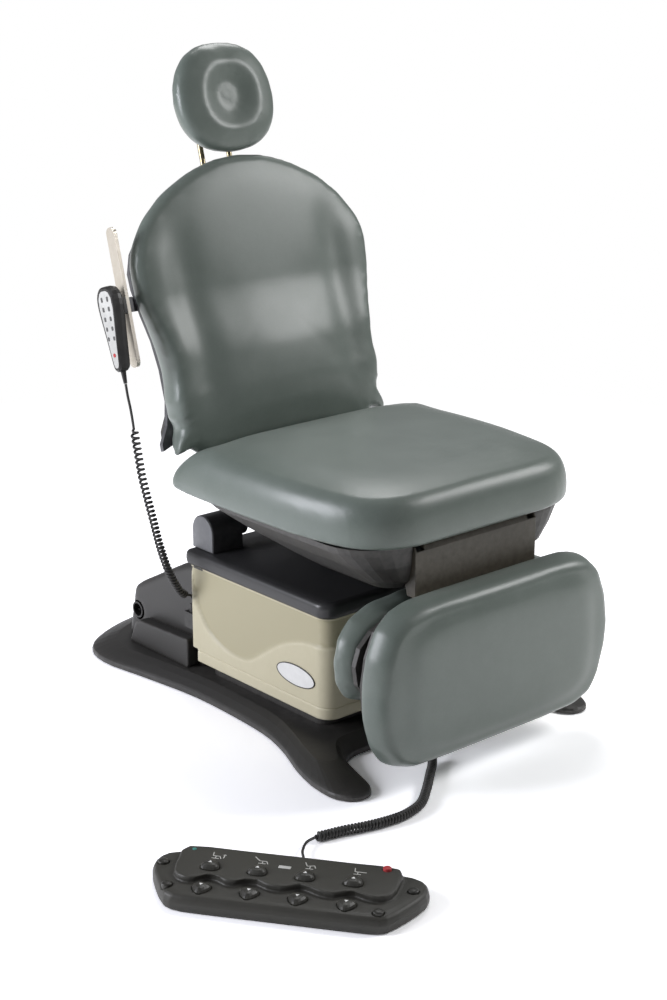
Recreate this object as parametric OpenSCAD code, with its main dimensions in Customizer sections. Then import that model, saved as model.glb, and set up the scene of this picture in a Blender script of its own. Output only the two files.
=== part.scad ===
// Oral procedure chair: a telescoping base, a tilting seat with reclining back and rising
// leg section, a corded hand control on a side rail and a corded foot control on the floor.
// X points to the sitter's left, the chair faces -Y, and the floor is Z = 0 under its centre.

/* [Base] */
// Length of the floor cover from front lobes to rear edge
base_length = 1064; // [1040:4:1160]
// Width of the floor cover across its lobes
base_width = 708; // [700:4:780]
// Height of the floor cover
base_height = 35; // [32:1:44]
// Wall of the floor cover
base_wall = 5; // [3:0.5:7]
// Thickness of the steel floor plate
plate_t = 8; // [6:1:12]
// Width of the fixed skirt
skirt_w = 400; // [380:2:408]
// Depth of the fixed skirt, front to rear
skirt_d = 384; // [360:2:396]
// Width of the rear housing
housing_w = 390; // [360:2:400]
// Length of the rear housing, front to rear
housing_l = 290; // [260:2:320]
// Height of the rear housing at its front edge
housing_h = 250; // [220:2:254]
// Width of each side step beside the rear housing
step_w = 30; // [20:1:40]
// Height of the side steps above the floor cover
step_h = 68; // [50:1:90]

/* [Lift] */
// Width of the outer lift column tube
column_w = 170; // [150:1:200]
// Wall of each lift column tube
column_wall = 9; // [6:0.5:9.5]

/* [Carriage] */
// Width of the outer shroud
shroud_w = 460; // [450:2:500]
// Depth of the outer shroud, front to rear
shroud_d = 452; // [444:2:480]
// Height of the outer shroud
shroud_h = 222; // [210:1:224]
// Height of the outer shroud's lower edge above the floor
shroud_z = 68; // [62:1:72]
// Height of the tray on top of the shroud
tray_h = 35; // [28:1:40]
// How far the tray overhangs the shroud on each side
tray_lip = 13; // [6:1:18]
// Diameter of the shaft on which the seat tilts
tilt_shaft_d = 30; // [24:1:34]
// Thickness of the D-shaped pivot housings
pivot_d = 72; // [66:1:78]

/* [Seat] */
// Width of the seat cushion
seat_w = 660; // [600:4:720]
// Length of the seat cushion, front to rear
seat_l = 640; // [600:4:660]
// Thickness of the seat cushion at its edge
seat_t = 100; // [80:1:115]
// Height of the cushion's underside above the floor
seat_z = 483; // [478:1:500]
// Depth of the shell under the seat
shell_h = 96; // [80:1:100]

/* [Leg section] */
// Width of the leg cushion
leg_w = 660; // [600:4:720]
// Height of the leg cushion
leg_h = 350; // [320:2:352]
// Thickness of the leg cushion
leg_t = 66; // [50:1:76]
// Width of the hinge cover above the leg cushion
cover_w = 332; // [320:2:350]
// Height of the footrest cushion
footrest_h = 224; // [200:2:226]
// Thickness of the footrest cushion
footrest_t = 52; // [40:1:56]

/* [Back] */
// Width of the back cushion at its widest
back_w = 648; // [600:4:700]
// Length of the back cushion along its slope
back_l = 629; // [600:1:660]
// Thickness of the back cushion at its edge
back_t = 64; // [54:1:70]
// Backward slope of the resting back from upright
back_tilt = 15; // [10:1:20]

/* [Headrest] */
// Width of the headrest cushion
head_w = 252; // [220:2:280]
// Height of the headrest cushion
head_h = 228; // [200:2:240]
// Thickness of the headrest cushion
head_t = 76; // [60:1:84]
// Diameter of the two headrest rods
rod_d = 12; // [8:0.5:12]
// Distance between the headrest rods
rod_gap = 74; // [60:1:90]

/* [Hand control] */
// Length of the rail beside the back
rail_l = 288; // [240:2:320]
// Width of the rail
rail_w = 28; // [24:1:32]
// Thickness of the rail
rail_t = 8; // [6:0.5:9]
// Length of the hand control
hand_l = 176; // [150:2:190]
// Width of the hand control at its head
hand_w = 66; // [56:1:72]
// Thickness of the hand control
hand_t = 27; // [22:1:30]

/* [Foot control] */
// Width of the foot control across its wide end
pedal_w = 492; // [460:2:520]
// Depth of the foot control, front to rear
pedal_d = 168; // [160:2:180]
// Height of the foot control's lower tier
pedal_h = 32; // [28:1:38]
// Height of the raised tier above the lower one
tier_h = 12; // [8:1:16]
// Travel of each button
button_travel = 2; // [1:0.1:2.5]

/* [Cords] */
// Diameter of both control cords
cord_d = 5.5; // [4:0.1:6]
// Outer diameter of the hand cord's coil
hand_coil_d = 19; // [17:0.5:21]
// Outer diameter of the foot cord's coil
foot_coil_d = 19; // [17:0.5:21]

/* [Hidden] */

// Clearances, gaps and one overrun for every cut
fit = 0.05;
slip = 0.3;
over = 2;
yoke_play = 1.5;

// Levels of the base
cover_top = base_height;
cover_lift = 2;
frame_w = 440;
frame_front = -base_length * 0.31;
frame_rear = base_length * 0.38;
outrigger_w = base_width * 0.76;
outrigger_d = 60;
outrigger_y = 270;
skirt_z = cover_top;
skirt_wall = 4;
skirt_y = -95;
skirt_drop = 22;
skirt_top = shroud_z + shroud_h - skirt_drop;
skirt_r = 30;
flange_t = 5;
column_r = 12;
column_step = (column_wall + slip) * 2;

// Middle shroud, outer shroud and tray
middle_gap = 10;
middle_wall = 4;
middle_lift = 4;
middle_drop = 9;
middle_z = shroud_z + middle_lift;
middle_top = shroud_z + shroud_h - middle_drop;
shroud_wall = 4;
shroud_y = -104;
shroud_r = 34;
shroud_top = shroud_z + shroud_h;
shroud_front = shroud_y - shroud_d / 2;
shroud_rear = shroud_y + shroud_d / 2;
field_step = 2;
notch_l = 26;
notch_h = 30;
tray_top = shroud_top + tray_h;
deck_t = 8;
badge_w = 118;
badge_h = 44;
badge_t = 1.6;
badge_in = 96;
badge_rise = 74;
badge_y = shroud_front + badge_in;
badge_z = shroud_z + badge_rise;

// Rear housing, its inlet and what it covers
housing_gap = 4;
housing_front = shroud_rear + housing_gap;
housing_r = 16;
inlet_d = 38;
inlet_depth = 26;
inlet_wall = 4;
inlet_y = 246;
inlet_z = 64;
blade_d = 4;
blade_l = 12;
supply_w = 195;
supply_d = 150;
supply_h = 96;
controller_h = 40;

// Seat from its rear edge, tilt axis, back hinge and leg hinge, as Y and Z
seat_rear = 90;
seat_front = seat_rear - seat_l;
tilt_y = 83;
tilt_z = 366;
tilt_x = 126;
arm_t = 16;
hub_wall = 10;
pivot_end = 8;
pivot_l = 78;
pivot_edge = 10;
pivot_in = shroud_w / 2 - pivot_edge - pivot_l;
pin_d = 16;
back_y = 108;
back_drop = 11;
back_z = seat_z - back_drop;
leg_in = 58;
leg_drop = 33;
leg_y = seat_front + leg_in;
leg_z = seat_z - leg_drop;
pin_x = 153;
back_pin_x = 195;
pin_in = 4;
lug_t = 14;
lug_r = 14;
lug_run = 20;
pin_over = 8;
pin_l = lug_t * 2 + pin_over;
torque_d = 30;

// Actuators: one common pattern of barrel, rod and slotted end
barrel_d = 40;
rod_shaft_d = 16;
lever_t = 8;
cheek_gap = 1.2;
lever_pin_d = 14;
yoke_w = 16;
yoke_l = 34;
yoke_wall = 5;
mount_in = 20;
tilt_lever = 52;
back_lever = 60;
leg_lever = 50;
side_x = 70;
actuator_drop = 66;
actuator_z = seat_z - actuator_drop;
tilt_swing = 12.5;
back_swing = 35;
leg_swing = 42.5;
barrel_front = -300;
barrel_rear = -30;
rod_in = 30;
rod_tail = barrel_front + rod_in;
tilt_rod_z = tilt_z + tilt_lever;
tilt_pin_y = tilt_y - tilt_lever * sin(tilt_swing);
tilt_pin_z = tilt_z + tilt_lever * cos(tilt_swing);
back_pin_y = back_y + back_lever * sin(back_swing);
back_pin_z = back_z - back_lever * cos(back_swing);
leg_pin_y = leg_y + leg_lever * sin(leg_swing);
leg_pin_z = leg_z - leg_lever * cos(leg_swing);

// Seat frame sections
tube = 30;
frame_x = 150;
sheet_t = 6;
sheet_w = 400;
sheet_in = 8;
tube_top = seat_z - slip - sheet_t;
tube_z = tube_top - tube;
hinge_run = 34;
arm_end = 1;
cross_run = 83;
tube_front = leg_y + hinge_run;
tube_rear = tilt_y - arm_end;
cross_y = back_y - cross_run;
sheet_l = cross_y + tube - tube_front - sheet_in;

// Seat cushion and shell
seat_y = seat_front + seat_l / 2;
seat_crown = 14;
rim_share = 0.6;
rear_drop = 62;
rear_run = 130;
shell_wall = 4;
shell_slot_w = 238;
shell_rear_cut = -75;

// Leg cushion, boards and hinge cover, front to rear
leg_reach = 46;
leg_front = seat_front - leg_reach;
leg_low = 46;
leg_rear = leg_front + leg_t;
leg_board_t = 19.7;
leg_board_rear = leg_rear + leg_board_t;
leg_inset = 26;
bar_t = 12;
bar_w = 40;
bar_x = 105;
bar_rear = leg_board_rear + bar_t;
foot_board_t = 12;
foot_board_rear = bar_rear + foot_board_t;
footrest_low = 150;
footrest_w = 644;
cover_t = 4;
cover_reach = 22;
cover_gap = 2;
cover_bevel = 9;
cover_strip_w = 284;
cover_drop = 78;
cover_rise = 24;
cover_low = leg_z - cover_drop;
cover_top_z = leg_z + cover_rise;
leg_crown = 6;

// Back: V runs up its slope and W out of its front face, both from the hinge
back_low = 36;
back_mid = back_low + back_l / 2;
back_crown = 10;
lumbar_rise = 9;
valley_depth = 10;
pad_gap = slip;
board_t = 11;
board_inset = 36;
upright_t = 12;
upright_w = 40;
upright_face = -board_t - upright_t;
weld = 1;
cross_bar_shares = [0.19, 0.4, 0.6, 0.78];
upright_l = 530;
cover_h = 34;
cover_inset = 50;
rod_w = upright_face + rod_d / 4;
socket_wall = 3;
socket_low = 470;
socket_top = 640;
head_v = 789;
rod_low = 478;
head_plate_t = 5;
head_plate = 120;
dish_depth = 25;

// Rail beside the back and the hand control hung on it
rail_x = -342;
rail_v = 404;
rail_w_axis = 36;
arm_v = 388;
arm_h = 30;
hand_v = 344;
holder_h = 34;
holder_w = 30;
holder_floor = 5;
holder_reach = 15;
hand_back = rail_x - holder_reach;
hand_wall = 3;
key_t = 1.2;
key_rim = 9;
peg_d = 8;
peg_head_d = 13;
peg_head_t = 4;
peg_l = 10;
relief_l = 24;
relief_d = 12;
relief_tip_d = 7.5;

// Sockets of both cords
socket_w = 24;
socket_d = 30;
socket_h = 36;
collar_l = 18;
collar_d = 15;
collar_tip_d = 11;
hand_socket_x = -212;
hand_socket_z = 168;
foot_socket_x = -40;
foot_socket_z = 56;
foot_socket_l = 19;

// Foot control, turned about its centre on the floor
pedal_x = -663;
pedal_y = -720;
pedal_turn = -54;
pedal_base_t = 4;
pedal_wall = 3;
pedal_round = 16;
pedal_relief_l = 18;
pedal_cord_z = 17;
cord_exit_x = 5;
post_x = 148;
post_y = 52;
tier_z = pedal_h + tier_h;
button_pitch = 85;
button_r = 17;
button_rise = 9;
button_first = -135;
upper_row_y = 8;
lower_row_y = -50;
stop_d = 15;
memory_d = 19;
memory_rise = 5;
pcb_z = 14;
pcb_t = 2;

// Cord routes, chosen by hand as X, Y and Z
HAND_TOP = [[-370.5, 133.1, 704.8], [-370.5, 131.7, 699.5], [-370.5, 127, 680],
    [-368, 123, 656], [-365, 122, 634]];
HAND_COIL = [[-362, 122, 612], [-355, 120, 560], [-348, 118, 507], [-338, 116, 460],
    [-325, 115, 406], [-310, 115, 346], [-288, 116, 283], [-262, 119, 236]];
HAND_END = [[-246, 124, 220], [-230, 131, 213], [-216, 137, 206], [-212, 137, 195],
    [-212, 137, 186.4]];
FOOT_START = [[-577.2, -663.8, 17], [-572.8, -660.6, 17], [-560, -648, 14.5], [-541, -623, 11],
    [-514, -602, 10.5]];
FOOT_COIL = [[-490, -598, 10.5], [-432, -612, 10.5], [-394, -625, 10.5], [-351, -636, 10.5],
    [-304, -640, 10.5], [-254, -628, 10.5], [-208, -596, 10.5], [-151, -548, 10.5]];
FOOT_END = [[-118, -520, 12], [-96, -496, 20], [-80, -470, 34], [-66, -440, 43],
    [-52, -400, 47], [-42, -350, 52], [-40, -320, 56], [-40, -306.4, 56]];
hand_curls = 24;
foot_curls = 30;
curl_rings = 8;
cord_sides = 6;

// Half outlines as shares of half the width and half the length, front to rear
base_shares = [[0, -0.705], [0.25, -0.705], [0.46, -0.706], [0.57, -0.71], [0.65, -0.735],
    [0.7, -0.773], [0.729, -0.81], [0.743, -0.86], [0.755, -0.915], [0.777, -0.962],
    [0.82, -0.992], [0.88, -1], [0.94, -0.985], [0.98, -0.95], [1, -0.9], [0.985, -0.79],
    [0.925, -0.655], [0.845, -0.53], [0.78, -0.39], [0.752, -0.25], [0.739, -0.06],
    [0.741, 0.13], [0.77, 0.3], [0.808, 0.47], [0.845, 0.62], [0.84, 0.73], [0.79, 0.82],
    [0.68, 0.888], [0.5, 0.95], [0.33, 0.985], [0.17, 1], [0, 1]];
// Where each of those points ends on the flat middle of the cover
crown_shares = [[0, -0.64], [0.24, -0.64], [0.42, -0.64], [0.53, -0.64], [0.6, -0.648],
    [0.642, -0.668], [0.678, -0.692], [0.711, -0.722], [0.74, -0.75], [0.762, -0.768],
    [0.785, -0.778], [0.813, -0.78], [0.84, -0.773], [0.86, -0.754], [0.87, -0.728],
    [0.848, -0.68], [0.802, -0.594], [0.74, -0.492], [0.683, -0.376], [0.655, -0.245],
    [0.644, -0.06], [0.644, 0.13], [0.667, 0.293], [0.695, 0.452], [0.718, 0.587],
    [0.706, 0.68], [0.667, 0.748], [0.582, 0.805], [0.43, 0.85], [0.294, 0.876],
    [0.158, 0.887], [0, 0.887]];
seat_shares = [[0, -1], [0.42, -0.997], [0.61, -0.985], [0.78, -0.91], [0.9, -0.75],
    [0.96, -0.5], [0.995, -0.16], [1, 0.2], [0.995, 0.5], [0.985, 0.76], [0.95, 0.9],
    [0.8, 0.975], [0.45, 1], [0, 1]];
back_shares = [[0, -0.9], [0.5, -0.915], [0.86, -0.94], [0.985, -0.985], [0.985, -0.93],
    [0.915, -0.8], [0.875, -0.62], [0.878, -0.38], [0.905, -0.16], [0.955, 0.04],
    [0.995, 0.24], [1, 0.36], [0.955, 0.5], [0.83, 0.67], [0.64, 0.81], [0.43, 0.91],
    [0.21, 0.98], [0, 1]];
leg_shares = [[0, -1], [0.42, -1], [0.7, -0.985], [0.85, -0.88], [0.93, -0.66], [0.985, -0.3],
    [1, 0.05], [0.97, 0.42], [0.9, 0.74], [0.79, 0.92], [0.66, 0.985], [0.4, 1], [0, 1]];
footrest_shares = [[0, -1], [0.5, -1], [0.76, -0.97], [0.9, -0.82], [0.98, -0.45], [1, 0],
    [0.96, 0.4], [0.86, 0.72], [0.7, 0.93], [0.45, 1], [0, 1]];
head_shares = [[0, -1], [0.42, -0.96], [0.78, -0.74], [0.97, -0.32], [1, 0.12], [0.9, 0.55],
    [0.66, 0.86], [0.34, 0.985], [0, 1]];
pedal_shares = [[0, -1], [0.45, -1], [0.68, -0.985], [0.8, -0.86], [0.92, -0.3], [1, 0.25],
    [0.985, 0.68], [0.88, 0.93], [0.6, 1], [0.3, 1], [0, 1]];
hand_shares = [[0, -1], [0.2, -0.985], [0.34, -0.9], [0.44, -0.7], [0.62, -0.25],
    [0.84, 0.2], [0.98, 0.55], [0.93, 0.8], [0.66, 0.95], [0.3, 1], [0, 1]];

tier_shares = [[-0.79, 0.9], [-0.815, 0.4], [-0.79, -0.2], [-0.7, -0.42], [-0.62, -0.4],
    [-0.55, -0.22], [-0.47, -0.24], [-0.4, -0.37], [-0.33, -0.37], [-0.27, -0.24],
    [-0.18, -0.22], [-0.1, -0.35], [0, -0.39], [0.07, -0.3], [0.13, -0.2], [0.2, -0.26],
    [0.28, -0.37], [0.38, -0.4], [0.45, -0.28], [0.52, -0.22], [0.6, -0.32], [0.7, -0.36],
    [0.78, -0.16], [0.8, 0.3], [0.77, 0.9], [0.4, 0.94], [-0.4, 0.94]];
stop_shares = [0.68, 0.78];
memory_shares = [[-0.92, 0.3], [-0.8, -0.58], [0.72, -0.72], [0.9, 0.26]];

// Outlines in the Y-Z plane, and rounded edges as share of height and share of the inset
housing_shares = [[0, 0], [1, 0], [0.972, 0.11], [0.91, 0.47], [0.834, 0.53], [0.3, 0.86],
    [0, 1]];
housing_round_shares = [[0, 1], [0.35, 0.35], [1, 0]];
step_shares = [[0.06, 0], [0.82, 0], [0.745, 0.72], [0.69, 0.88], [0.06, 1]];
wave_shares = [[1, 0.96], [0.985, 0.78], [0.94, 0.55], [0.86, 0.36], [0.75, 0.26],
    [0.64, 0.235], [0.55, 0.27], [0.45, 0.4], [0.34, 0.55], [0.23, 0.65], [0.12, 0.695],
    [0, 0.7]];
// Height of the cover and how far it has come from its edge to its flat middle
cover_shares = [[-0.1, 0], [0.26, 0], [0.37, 0.03], [0.46, 0.12], [0.6, 0.32], [0.76, 0.55],
    [0.9, 0.8], [0.97, 0.93], [1, 1], [1.1, 1]];
tray_shares = [[0, 0.54], [0.14, 0.15], [0.4, 0], [0.72, 0.08], [0.9, 0.38], [1, 1]];
pedal_round_shares = [[0.05, 0.1], [0.12, 0.03], [0.5, 0], [0.82, 0.19], [0.95, 0.5], [1, 1]];
tier_round_shares = [[-0.6, 0], [0.5, 0], [0.85, 0.17], [1, 0.42]];
back_cover_shares = [[0, 0.76], [0.25, 0.35], [0.6, 0.09], [1, 0]];
hand_round_shares = [[0, 0.22], [0.2, 0.055], [0.5, 0], [0.85, 0.037], [1, 0.18]];
dome_shares = [[0, 1], [0.1, 1], [0.5, 0.9], [0.85, 0.66], [1, 0.3]];
// Half width, front, rear, height and corner of the seat shell
shell_shares = [[0.62, 0.11, 0.47, 0, 0.13], [0.7, 0.08, 0.56, 0.2, 0.18],
    [0.81, 0.07, 0.75, 0.55, 0.25], [0.885, 0.066, 0.89, 0.85, 0.3],
    [0.903, 0.066, 0.931, 1, 0.31]];

// Rounding of cushions: inset as share of thickness, height share, share towards the centre
edge_shares = [[0.14, 0, 0], [0.04, 0.04, 0], [0, 0.22, 0], [0, 0.45, 0], [0.05, 0.7, 0],
    [0.15, 0.88, 0], [0.32, 0.98, 0], [0.32, 1, 0.28], [0.32, 1, 0.56], [0.32, 1, 0.8]];
bun_shares = [[0.62, 0, 0], [0.4, 0.08, 0], [0.2, 0.28, 0], [0.06, 0.52, 0], [0, 0.74, 0],
    [0.08, 0.9, 0], [0.26, 0.99, 0], [0.26, 1, 0.28], [0.26, 1, 0.56], [0.26, 1, 0.8]];

// Points along a smooth closed or open curve
function knot(a, b, c, d, t) =
    b + (c - a) * t / 2 + (a * 2 - b * 5 + c * 4 - d) * t * t / 2
    + (b * 3 - a - c * 3 + d) * t * t * t / 2;
function smooth_loop(points, steps) = let (n = len(points)) [
    for (i = [0 : n - 1]) for (s = [0 : steps - 1])
        knot(points[(i + n - 1) % n], points[i], points[(i + 1) % n], points[(i + 2) % n],
            s / steps)];
function clamp(i, n) = min(max(i, 0), n - 1);
function route_at(points, t) = let (n = len(points), i = clamp(floor(t), n - 1))
    knot(points[clamp(i - 1, n)], points[i], points[clamp(i + 1, n)], points[clamp(i + 2, n)],
        t - i);
// Whole outline from its right half
function both_sides(half) = let (n = len(half)) concat(half,
    [for (i = [n - 2 : -1 : 1]) [-half[i].x, half[i].y]]);
function sized(shares, half_x, half_y) = [for (p = shares) [p.x * half_x, p.y * half_y]];
function outline(shares, half_x, half_y, steps) =
    smooth_loop(sized(both_sides(shares), half_x, half_y), steps);
function rounded_box(half_x, half_y, r, steps) = [
    for (corner = [0 : 3]) for (s = [0 : steps])
        let (a = (corner + s / steps) * 90,
            side_x = corner == 0 || corner == 3 ? 1 : -1,
            side_y = corner < 2 ? 1 : -1)
        [side_x * (half_x - r) + r * cos(a), side_y * (half_y - r) + r * sin(a)]];
function unit(v) = v / norm(v);

// Solid through a stack of rings, closed by a fan at each end
module loft(rings, tip = undef) {
    n = len(rings[0]);
    last = len(rings) - 1;
    low = sum_points(rings[0]) / n;
    high = sum_points(rings[last]) / n;
    walls = [for (k = [0 : last - 1]) for (i = [0 : n - 1]) let (j = (i + 1) % n)
        each [[k * n + i, (k + 1) * n + j, k * n + j],
            [k * n + i, (k + 1) * n + i, (k + 1) * n + j]]];
    first_cap = [for (i = [0 : n - 1]) [(last + 1) * n, i, (i + 1) % n]];
    last_cap = [for (i = [0 : n - 1]) [(last + 1) * n + 1, last * n + (i + 1) % n, last * n + i]];
    polyhedron(concat([for (ring = rings) each ring], [low, is_undef(tip) ? high : tip]),
        concat(walls, first_cap, last_cap));
}
function sum_points(points, i = 0) =
    i == len(points) - 1 ? points[i] : points[i] + sum_points(points, i + 1);

// Upholstered block: outline in X and Y, rounded and crowned towards +Z by a face function
module cushion(shares, half_x, half_y, t, steps, edge, face) {
    points = outline(shares, half_x, half_y, steps);
    loft([for (s = edge)
        [for (p = points)
            let (x = p.x * (1 - s.x * t / half_x) * (1 - s.z),
                y = p.y * (1 - s.x * t / half_y) * (1 - s.z))
            [x, y, s.y * (t + face(x / half_x, y / half_y))]]],
        [0, 0, t + face(0, 0)]);
}

// Cord: a tube along a route whose middle stretch winds round its own centre line
function cord_points(start, coil, end, curls, coil_r, up) = concat(
    straight_run(concat(start, [coil[0]]), 2),
    [for (i = [0 : curls * curl_rings])
        let (share = i / (curls * curl_rings), t = share * (len(coil) - 1),
            ahead = unit(route_at(coil, t + 0.05) - route_at(coil, t - 0.05)),
            side = unit(cross(ahead, up)), lift = cross(side, ahead),
            ramp = min(1, i / curl_rings, curls - i / curl_rings),
            a = 360 * i / curl_rings)
        route_at(coil, t) + (side * cos(a) + lift * sin(a)) * coil_r * ramp],
    straight_run(concat([coil[len(coil) - 1]], end), 2, 1));
function straight_run(points, steps, skip = 0) = [
    for (i = [skip : (len(points) - 1) * steps - (skip == 0 ? 1 : 0)])
        route_at(points, i / steps)];
// Frames carried along the points without twist
function carry(points, i, side) = let (n = len(points),
    ahead = unit(points[clamp(i + 1, n)] - points[clamp(i - 1, n)]))
    unit(side - ahead * (side * ahead));
function sides_along(points, first) = [
    for (i = 0, side = carry(points, 0, first); i < len(points);
        i = i + 1, side = carry(points, clamp(i, len(points)), side)) side];
module tube_along(points, r, first) {
    n = len(points);
    sides = sides_along(points, first);
    loft([for (i = [0 : n - 1])
        let (ahead = unit(points[clamp(i + 1, n)] - points[clamp(i - 1, n)]),
            u = sides[i], v = cross(ahead, u))
        [for (k = [0 : cord_sides - 1]) let (a = 360 * k / cord_sides)
            points[i] + (u * cos(a) + v * sin(a)) * r]]);
}
function least_gap(points, r, apart) = min([
    for (i = [0 : len(points) - 1 - apart]) for (j = [i + apart : len(points) - 1])
        norm(points[i] - points[j])]) - r * 2;

// Rounded upright block and tube, standing on z
module box_tube(w, d, y, z, h, r, wall) {
    translate([0, y, z])
        linear_extrude(h)
            difference() {
                polygon(rounded_box(w / 2, d / 2, r, 6));
                polygon(rounded_box(w / 2 - wall, d / 2 - wall, r - wall, 6));
            }
}
// Cylinder along X, centred on x
module cross_pin(x, y, z, d, l, sides = 48) {
    translate([x - l / 2, y, z])
        rotate([0, 90, 0])
            cylinder(h = l, d = d, $fn = sides);
}
// Rounded triangle of a button
function button_outline(r) = smooth_loop([for (i = [0 : 2]) for (s = [-1, 1])
    let (a = 90 + i * 120 + s * 22) [r * cos(a), r * sin(a)]], 3);
// Flat plate in the Y-Z plane, centred on x
module side_plate(x, t, points) {
    translate([x - t / 2, 0, 0])
        rotate([90, 0, 90])
            linear_extrude(t)
                polygon(points);
}
module block(x, y, z, w, d, h) {
    translate([x - w / 2, y, z])
        cube([w, d, h]);
}
// Places its children in the frame of the back: X, V up the slope, W out of the face
module on_back() {
    translate([0, back_y, back_z])
        rotate([90 - back_tilt, 0, 0])
            children();
}
// Places its children in the frame of the foot control
module on_pedal() {
    translate([pedal_x, pedal_y, 0])
        rotate([0, 0, pedal_turn])
            children();
}

// Steel floor frame: a plate with two outriggers and two rails that carry the cover
module frame_plan(grow) {
    translate([-frame_w / 2 - grow, frame_front - grow])
        square([frame_w + grow * 2, frame_rear - frame_front + grow * 2]);
    for (y = [frame_front, outrigger_y])
        translate([-outrigger_w / 2 - grow, y - grow])
            square([outrigger_w + grow * 2, outrigger_d + grow * 2]);
}
module base_frame() {
    color("dimgray") {
        linear_extrude(plate_t)
            frame_plan(0);
        for (side = [-1, 1])
            block(side * (skirt_w / 2 - tube), skirt_y - skirt_d / 2, plate_t, tube,
                skirt_d + housing_l, cover_top - base_wall - plate_t);
    }
}

// Moulded cover over the floor frame, crowned from its rim to its flat middle
module base_cover() {
    rim = outline(base_shares, base_width / 2, base_length / 2, 2);
    crown = outline(crown_shares, base_width / 2, base_length / 2, 2);
    color("#33312f")
        difference() {
            intersection() {
                loft([for (s = cover_shares)
                    [for (i = [0 : len(rim) - 1])
                        [each rim[i] + (crown[i] - rim[i]) * s.y, s.x * base_height]]]);
                block(0, -base_length, cover_lift, base_width * 2, base_length * 2,
                    cover_top - cover_lift);
            }
            translate([0, 0, -over])
                linear_extrude(plate_t + slip + over)
                    frame_plan(slip);
            block(0, frame_front - slip, -over, frame_w + slip * 2,
                frame_rear - frame_front + slip * 2, cover_top - base_wall + over);
            translate([0, skirt_y, 0])
                linear_extrude(cover_top + over)
                    polygon(rounded_box(column_w / 2 + slip, column_w / 2 + slip, column_r, 6));
        }
}

// Fixed skirt round the column
module lower_skirt() {
    color("#2b2928")
        box_tube(skirt_w, skirt_d, skirt_y, skirt_z, skirt_top - skirt_z, skirt_r, skirt_wall);
}

// Shroud that rises half as far as the seat
module middle_shroud() {
    color("#2b2928")
        box_tube(skirt_w + (middle_gap + middle_wall) * 2, skirt_d + (middle_gap + middle_wall) * 2,
            skirt_y, middle_z, middle_top - middle_z, skirt_r + middle_gap, middle_wall);
}

// Sloping housing behind the column, and the round inlet in its right side
module housing_form(inset) {
    hull()
        for (s = housing_round_shares)
            side_plate(0, housing_w - (inset + s.x * housing_r) * 2,
                [for (p = housing_shares)
                    [housing_front + inset + p.x * (housing_l - inset * 2 - s.y * housing_r),
                        skirt_z - (inset > 0 ? over : 0)
                            + p.y * (housing_h - inset + (inset > 0 ? over : 0) - s.y * housing_r)]]);
}
module inlet_place(before) {
    translate([-housing_w / 2 - before, housing_front + inlet_y, skirt_z + inlet_z])
        rotate([0, 90, 0])
            children();
}
module rear_housing() {
    color("#2e2c2b")
        difference() {
            housing_form(0);
            housing_form(base_wall);
            inlet_place(over)
                cylinder(h = inlet_depth + over, d = inlet_d + slip * 2, $fn = 48);
        }
}
module power_inlet() {
    color("#1c1b1a")
        inlet_place(0) {
            difference() {
                cylinder(h = inlet_depth, d = inlet_d, $fn = 48);
                translate([0, 0, -over])
                    cylinder(h = inlet_depth - inlet_wall + over, d = inlet_d - inlet_wall * 2,
                        $fn = 48);
            }
            for (side = [-1, 0, 1])
                translate([(abs(side) - 1 / 2) * blade_d * 2, side * blade_d * 2,
                    inlet_depth - inlet_wall - blade_l])
                    cylinder(h = blade_l + inlet_wall / 2, d = blade_d, $fn = 24);
        }
}

// Low steps on both sides of the rear housing
module side_steps() {
    color("#343230")
        for (side = [-1, 1])
            side_plate(side * (housing_w + step_w) / 2, step_w,
                [for (p = step_shares) [housing_front + p.x * housing_l, cover_top + p.y * step_h]]);
}

// Supply and controller inside the rear housing
module control_box() {
    color("gray") {
        block(0, housing_front + tube, cover_top, supply_w, supply_d, supply_h);
        block(0, housing_front + tube, cover_top + supply_h, supply_w - tube, supply_d / 2,
            controller_h);
    }
}

// Three nested tubes of the lift column, with their foot, flange and deck
module column_tube(w, z, top) {
    box_tube(w, w, skirt_y, z, top - z, column_r, column_wall);
}
module column_outer() {
    color("slategray") {
        column_tube(column_w, plate_t, skirt_top - flange_t);
        block(0, skirt_y - column_w / 2 + column_wall / 2, plate_t, column_w - column_wall,
            column_w - column_wall, flange_t);
    }
}
module column_middle() {
    color("lightslategray") {
        column_tube(column_w - column_step, plate_t + flange_t * 2, middle_top - slip);
        translate([0, skirt_y, skirt_top + flange_t])
            linear_extrude(flange_t)
                difference() {
                    union() {
                        square([skirt_w + middle_gap * 2, column_w], center = true);
                        square([column_w, skirt_d + middle_gap * 2], center = true);
                    }
                    square(column_w - column_step - column_wall, center = true);
                }
    }
}
module column_inner() {
    color("silver") {
        column_tube(column_w - column_step * 2, plate_t + flange_t * 3, shroud_top - deck_t);
        translate([0, 0, shroud_top - deck_t])
            linear_extrude(deck_t)
                shroud_plan(shroud_wall);
    }
}

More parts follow.
